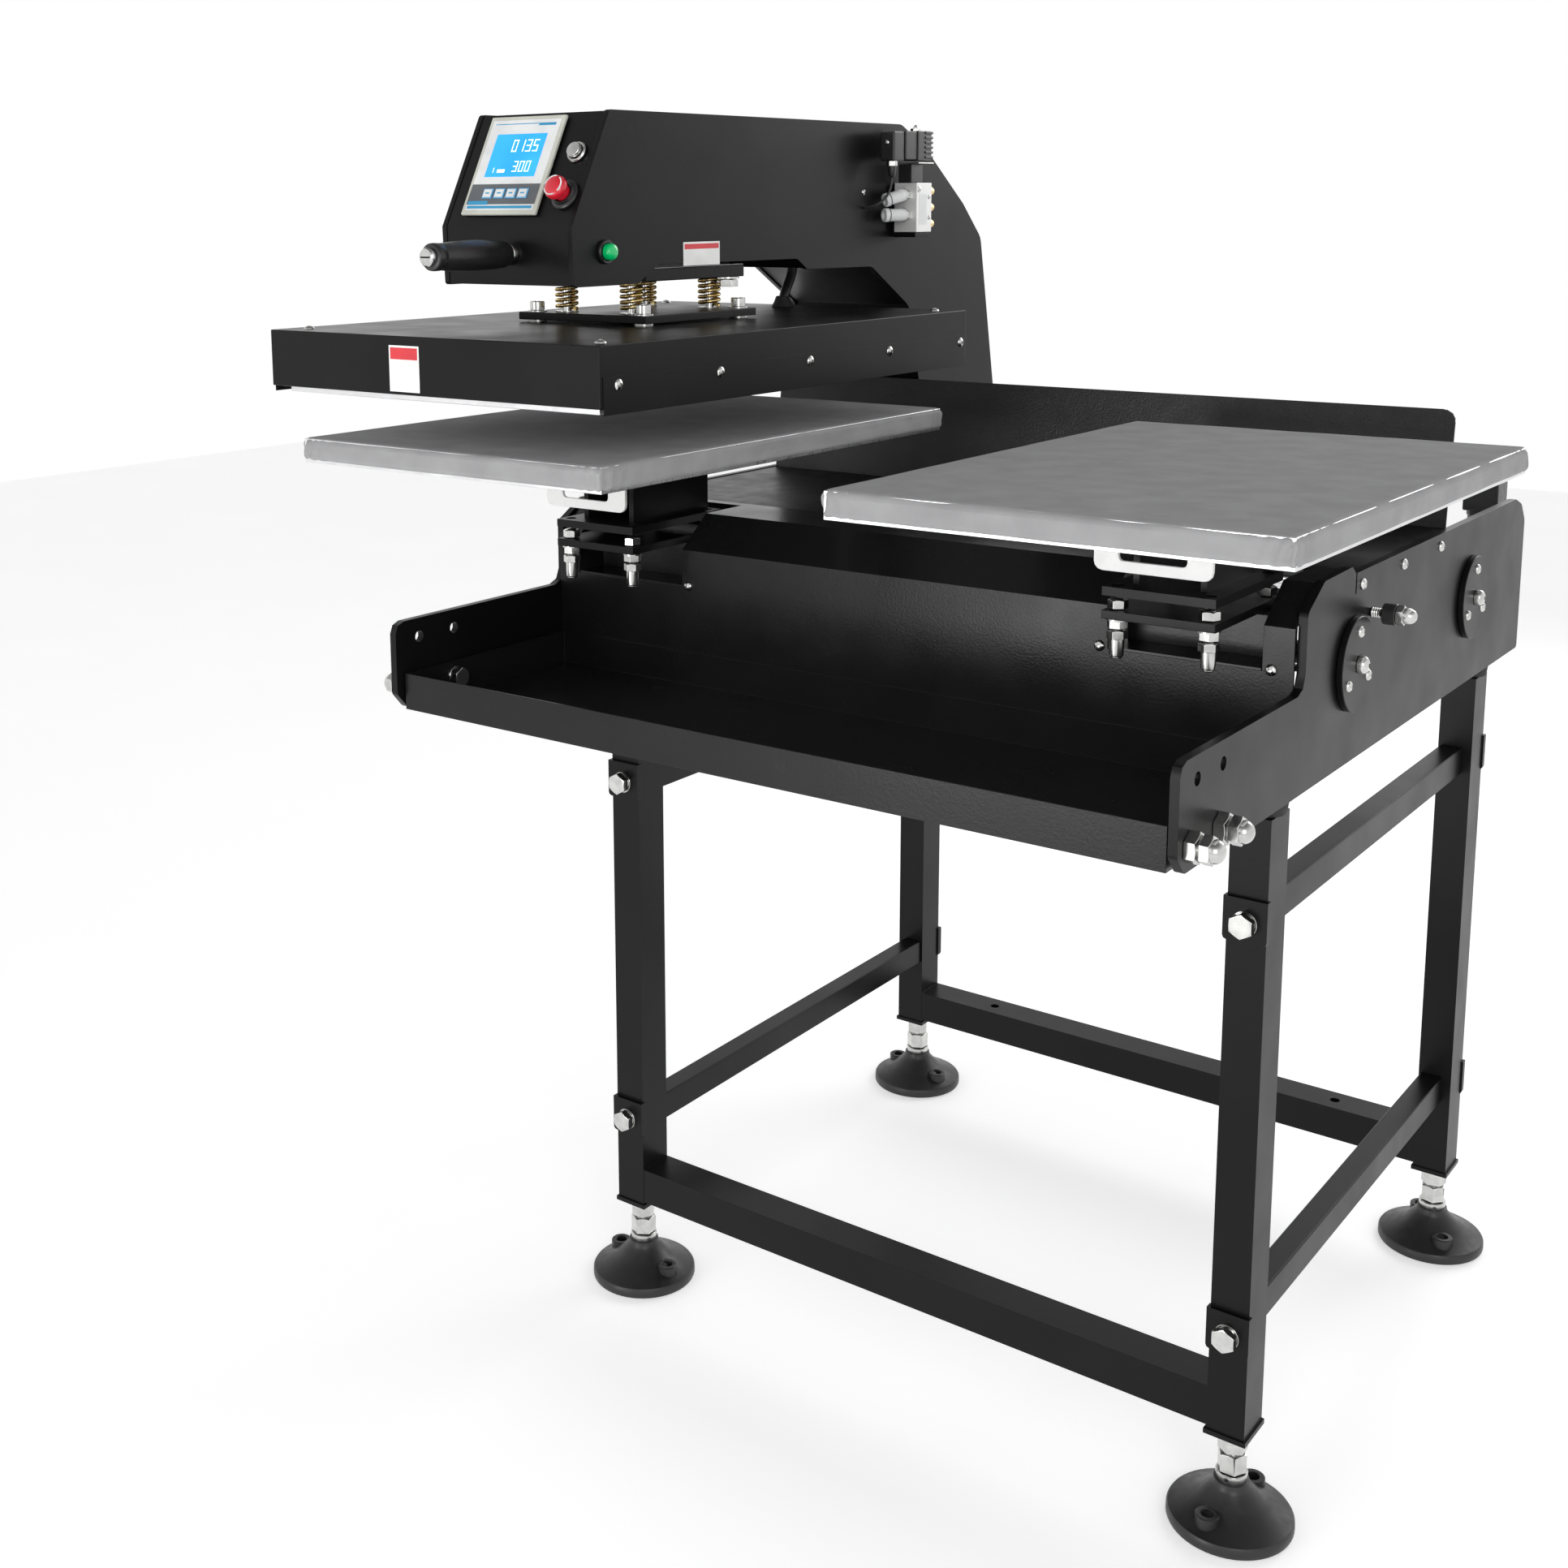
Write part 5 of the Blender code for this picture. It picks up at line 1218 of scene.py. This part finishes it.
def press_head():
    softened("mount_plate", COAT, "plate_under_springs", 0.0008,
             drop=lambda p: p.z < PLATE_LOW - 0.0002 or p.z > PLATE_HIGH + 0.0002)
    softened("press_bar", COAT, "bar", 0.0010,
             drop=lambda p: p.z < BAR_LOW - 0.0004 or p.z > BAR_HIGH + 0.0004)
    springs = head_springs()
    centre = Vector((ARM_X, PLATEN_Y, 0))
    bolt_spots = [Vector((sx * 0.072, sy * 0.081, 0)) for sx in (-1, 1) for sy in (-1, 1)]
    places = [(centre + spot + UP * (PLATE_HIGH - 0.0001), UP) for spot in bolt_spots]
    placed(socket_screw(0.0078, 0.0110), places, "plate_bolts", "press_head")
    spacer = ring_outline(0, 0.0100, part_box("heating_plate")[1].z + 0.0022, PLATE_LOW + 0.0001)
    guides = [lathe(spacer, centre + spot, UP, ZINC) for spot in bolt_spots]
    for spot, low, high in springs:
        seat = ring_outline(0.005, 0.0125, low - 0.0001, low + 0.0007)
        guides.append(rod(Vector((spot.x, spot.y, low)), UP, 0.0050, high - low + 0.0005, ZINC, 0.0002, 20))
        guides.append(lathe(seat, (spot.x, spot.y, 0), UP, ZINC, 28))
    finished(joined(guides), "spring_guides", "press_head")
    places = [(Vector((spot.x, spot.y, BAR_HIGH)), UP) for spot, _, _ in springs]
    placed(pan_screw(0.0070, 0.0034), places, "bar_screws", "press_head")


def bar_fittings():
    """The travel-limit nut under the bar's right rear corner, the bar's milled top and the piston rod."""
    low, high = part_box("press_bar")
    spot = Vector((high.x - 0.012, high.y - 0.014, BAR_LOW))
    top = spot + UP * 0.0130
    washer = ring_outline(0, 0.0125, 0, 0.0016)
    limit = [standing(hex_prism(0.0200, 0.0080, 0.0008), spot - UP * 0.0105),
             lathe(washer, spot - UP * 0.0018, UP, ZINC, 32),
             standing(pan_screw(0.0062, 0.0026), top),
             standing(pan_screw(0.0050, 0.0026), top - Vector((0.016, 0, 0)))]
    finished(joined(limit), "bar_limit_nut", "press_head")
    skin = slab((low.x + 0.001, low.y + 0.001, BAR_HIGH - 0.0001),
                (high.x - 0.001, high.y - 0.001, BAR_HIGH + 0.0004), BRUSHED, 0.0001)
    finished(skin, "bar_milled_top", "press_head")
    piston = rod(Vector((ARM_X, PLATEN_Y, BAR_HIGH - 0.001)), UP, 0.0120, 0.108, CHROME, 0.0006, 36)
    finished(piston, "piston_rod", "press_head")


def hood_screws(point):
    """True for the screw heads that stand proud of the heat cover."""
    return abs(point.x - ARM_X) > HOOD_X + CLEAR or point.z > HOOD_TOP + CLEAR


def heat_platen():
    softened("heat_cover", COAT, "heater_hood", 0.0011, drop=hood_screws)
    softened("heating_plate", ALUMINIUM, "heater_plate", 0.0010)
    front, rear = PLATEN_Y - HOOD_Y, PLATEN_Y + HOOD_Y
    places, strips = [], []
    for _, sign in SIDES:
        for sy in (-1, 1):
            places.append((Vector((ARM_X + sign * 0.192, PLATEN_Y + sy * 0.291, HOOD_TOP - 0.0002)), UP))
        for k in range(5):
            places.append((Vector((ARM_X + sign * 0.2159, front + 0.025 + k * 0.151, 1.1105)), (sign, 0, 0)))
    placed(pan_screw(0.0056, 0.0032), places, "hood_screws", "press_head")
    for _, sign in SIDES:
        faces = sorted((ARM_X + sign * 0.2161, ARM_X + sign * 0.2167))
        strips.append(slab((faces[0], front + 0.004, 1.0842), (faces[1], rear - 0.004, 1.1187), COAT, 0.0002))
    finished(joined(strips), "hood_side_strips", "press_head")
    label(Vector((ARM_X - 0.026, front - 0.0002, 1.1150)), 0.040, 0.044, FORWARD, "hood_label", "press_head")


def label(spot, width, height, facing, name, body):
    """A plain stuck-on plate: white with a red band along its top, and nothing written on it."""
    facing, margin = Vector(facing), 0.002
    across = UP.cross(facing).normalized()
    turn = Matrix((across, UP, facing)).transposed().to_4x4()
    half_width, half_height = width / 2, height / 2
    plate = slab((-half_width, -half_height, 0), (half_width, half_height, 0.0004), LABEL_WHITE, 0.0001)
    red_band = slab((-half_width + margin, half_height - height * 0.30, 0.0003),
                    (half_width - margin, half_height - margin, 0.0006), LABEL_RED, 0)
    whole = joined([plate, red_band])
    whole.data.transform(Matrix.Translation(spot) @ turn)
    finished(whole, name, body)


# ---- build ----------------------------------------------------------------------------------------
stand_frames()
levelling_feet()
machine_box()
box_fasteners()
tray_fasteners()
travel_stops()
regulator()
supports()
cloth_cover("left", 3.7)
cloth_cover("right", 11.3)
arm()
controller()
emergency_stop()
push_buttons()
grip()
valve_body()
valve_screws()
valve_fittings()
valve_lead()
heater_cable()
press_head()
bar_fittings()
heat_platen()
label(Vector((ARM_X + ARM_SIDE + 0.0001, SHIFT_Y - 0.017, 1.2165)), 0.062, 0.024, (1, 0, 0), "arm_label",
      "travelling_head")
for master in (FOOT_NUT, SMALL_NUT, SADDLE_BOLT):
    bpy.data.objects.remove(master)


# ---- studio ---------------------------------------------------------------------------------------
def floor():
    bpy.ops.mesh.primitive_plane_add(size=14, location=ORIGIN)
    ground = bpy.context.active_object
    ground.name = "floor"
    pale = Finish("pale_floor", (0.90, 0.90, 0.90), 0.6)
    pale.rough(pale.noise(3.0, 2.0), 0.55, 0.65)
    pale.set(Emission_Color=(1, 1, 1, 1), Emission_Strength=0.42)
    dress(ground, pale.material)


def pale_sky():
    """White near the horizon, greyer overhead."""
    world = bpy.data.worlds.new("studio")
    world.use_nodes = True
    bpy.context.scene.world = world
    nodes, links = world.node_tree.nodes, world.node_tree.links
    background = nodes["Background"]
    direction = nodes.new("ShaderNodeTexCoord")
    split = nodes.new("ShaderNodeSeparateXYZ")
    ramp = nodes.new("ShaderNodeMapRange")
    for socket, value in (("From Min", 0.36), ("From Max", 0.85), ("To Min", 1.0), ("To Max", 0.22)):
        ramp.inputs[socket].default_value = value
    links.new(direction.outputs["Generated"], split.inputs["Vector"])
    links.new(split.outputs["Z"], ramp.inputs["Value"])
    background.inputs["Color"].default_value = (1.0, 1.0, 1.0, 1)
    links.new(ramp.outputs["Result"], background.inputs["Strength"])


def soft_lamp(name, spot, size, power):
    """A square lamp turned toward the machine."""
    data = bpy.data.lights.new(name, "AREA")
    data.shape = "SQUARE"
    data.size = size
    data.energy = power
    lamp = bpy.data.objects.new(name, data)
    bpy.context.scene.collection.objects.link(lamp)
    lamp.location = spot
    toward = Vector((0, 0, 0.8)) - Vector(spot)
    lamp.rotation_euler = toward.to_track_quat("-Z", "Y").to_euler()


def camera():
    """Seen from the front right at chest height, looking slightly down."""
    yaw, pitch, roll = math.radians(37.58), math.radians(9.68), math.radians(-0.46)
    forward = Vector((-math.sin(yaw) * math.cos(pitch), math.cos(yaw) * math.cos(pitch), -math.sin(pitch)))
    right = Vector((math.cos(yaw), math.sin(yaw), 0))
    up = right.cross(forward)
    level_right = math.cos(roll) * right + math.sin(roll) * up
    level_up = -math.sin(roll) * right + math.cos(roll) * up
    data = bpy.data.cameras.new("camera")
    data.lens = 43.93
    data.sensor_width = 36
    data.shift_x = 0.0596
    data.shift_y = -0.1626
    data.clip_start = 0.05
    view = bpy.data.objects.new("camera", data)
    bpy.context.scene.collection.objects.link(view)
    turn = Matrix((level_right, level_up, -forward)).transposed().to_4x4()
    view.matrix_world = Matrix.Translation((CENTRE_X + 0.9774, SHIFT_Y + 0.012 - 1.6202, 1.2682)) @ turn
    bpy.context.scene.camera = view


floor()
pale_sky()
soft_lamp("key", (2.3, -2.7, 1.7), 1.5, 24)
soft_lamp("low", (-0.9, -3.2, 0.55), 1.1, 22)
soft_lamp("back", (0.6, 3.0, 2.3), 1.8, 34)
camera()
bpy.context.scene.view_settings.view_transform = "Standard"
bpy.context.view_layer.update()
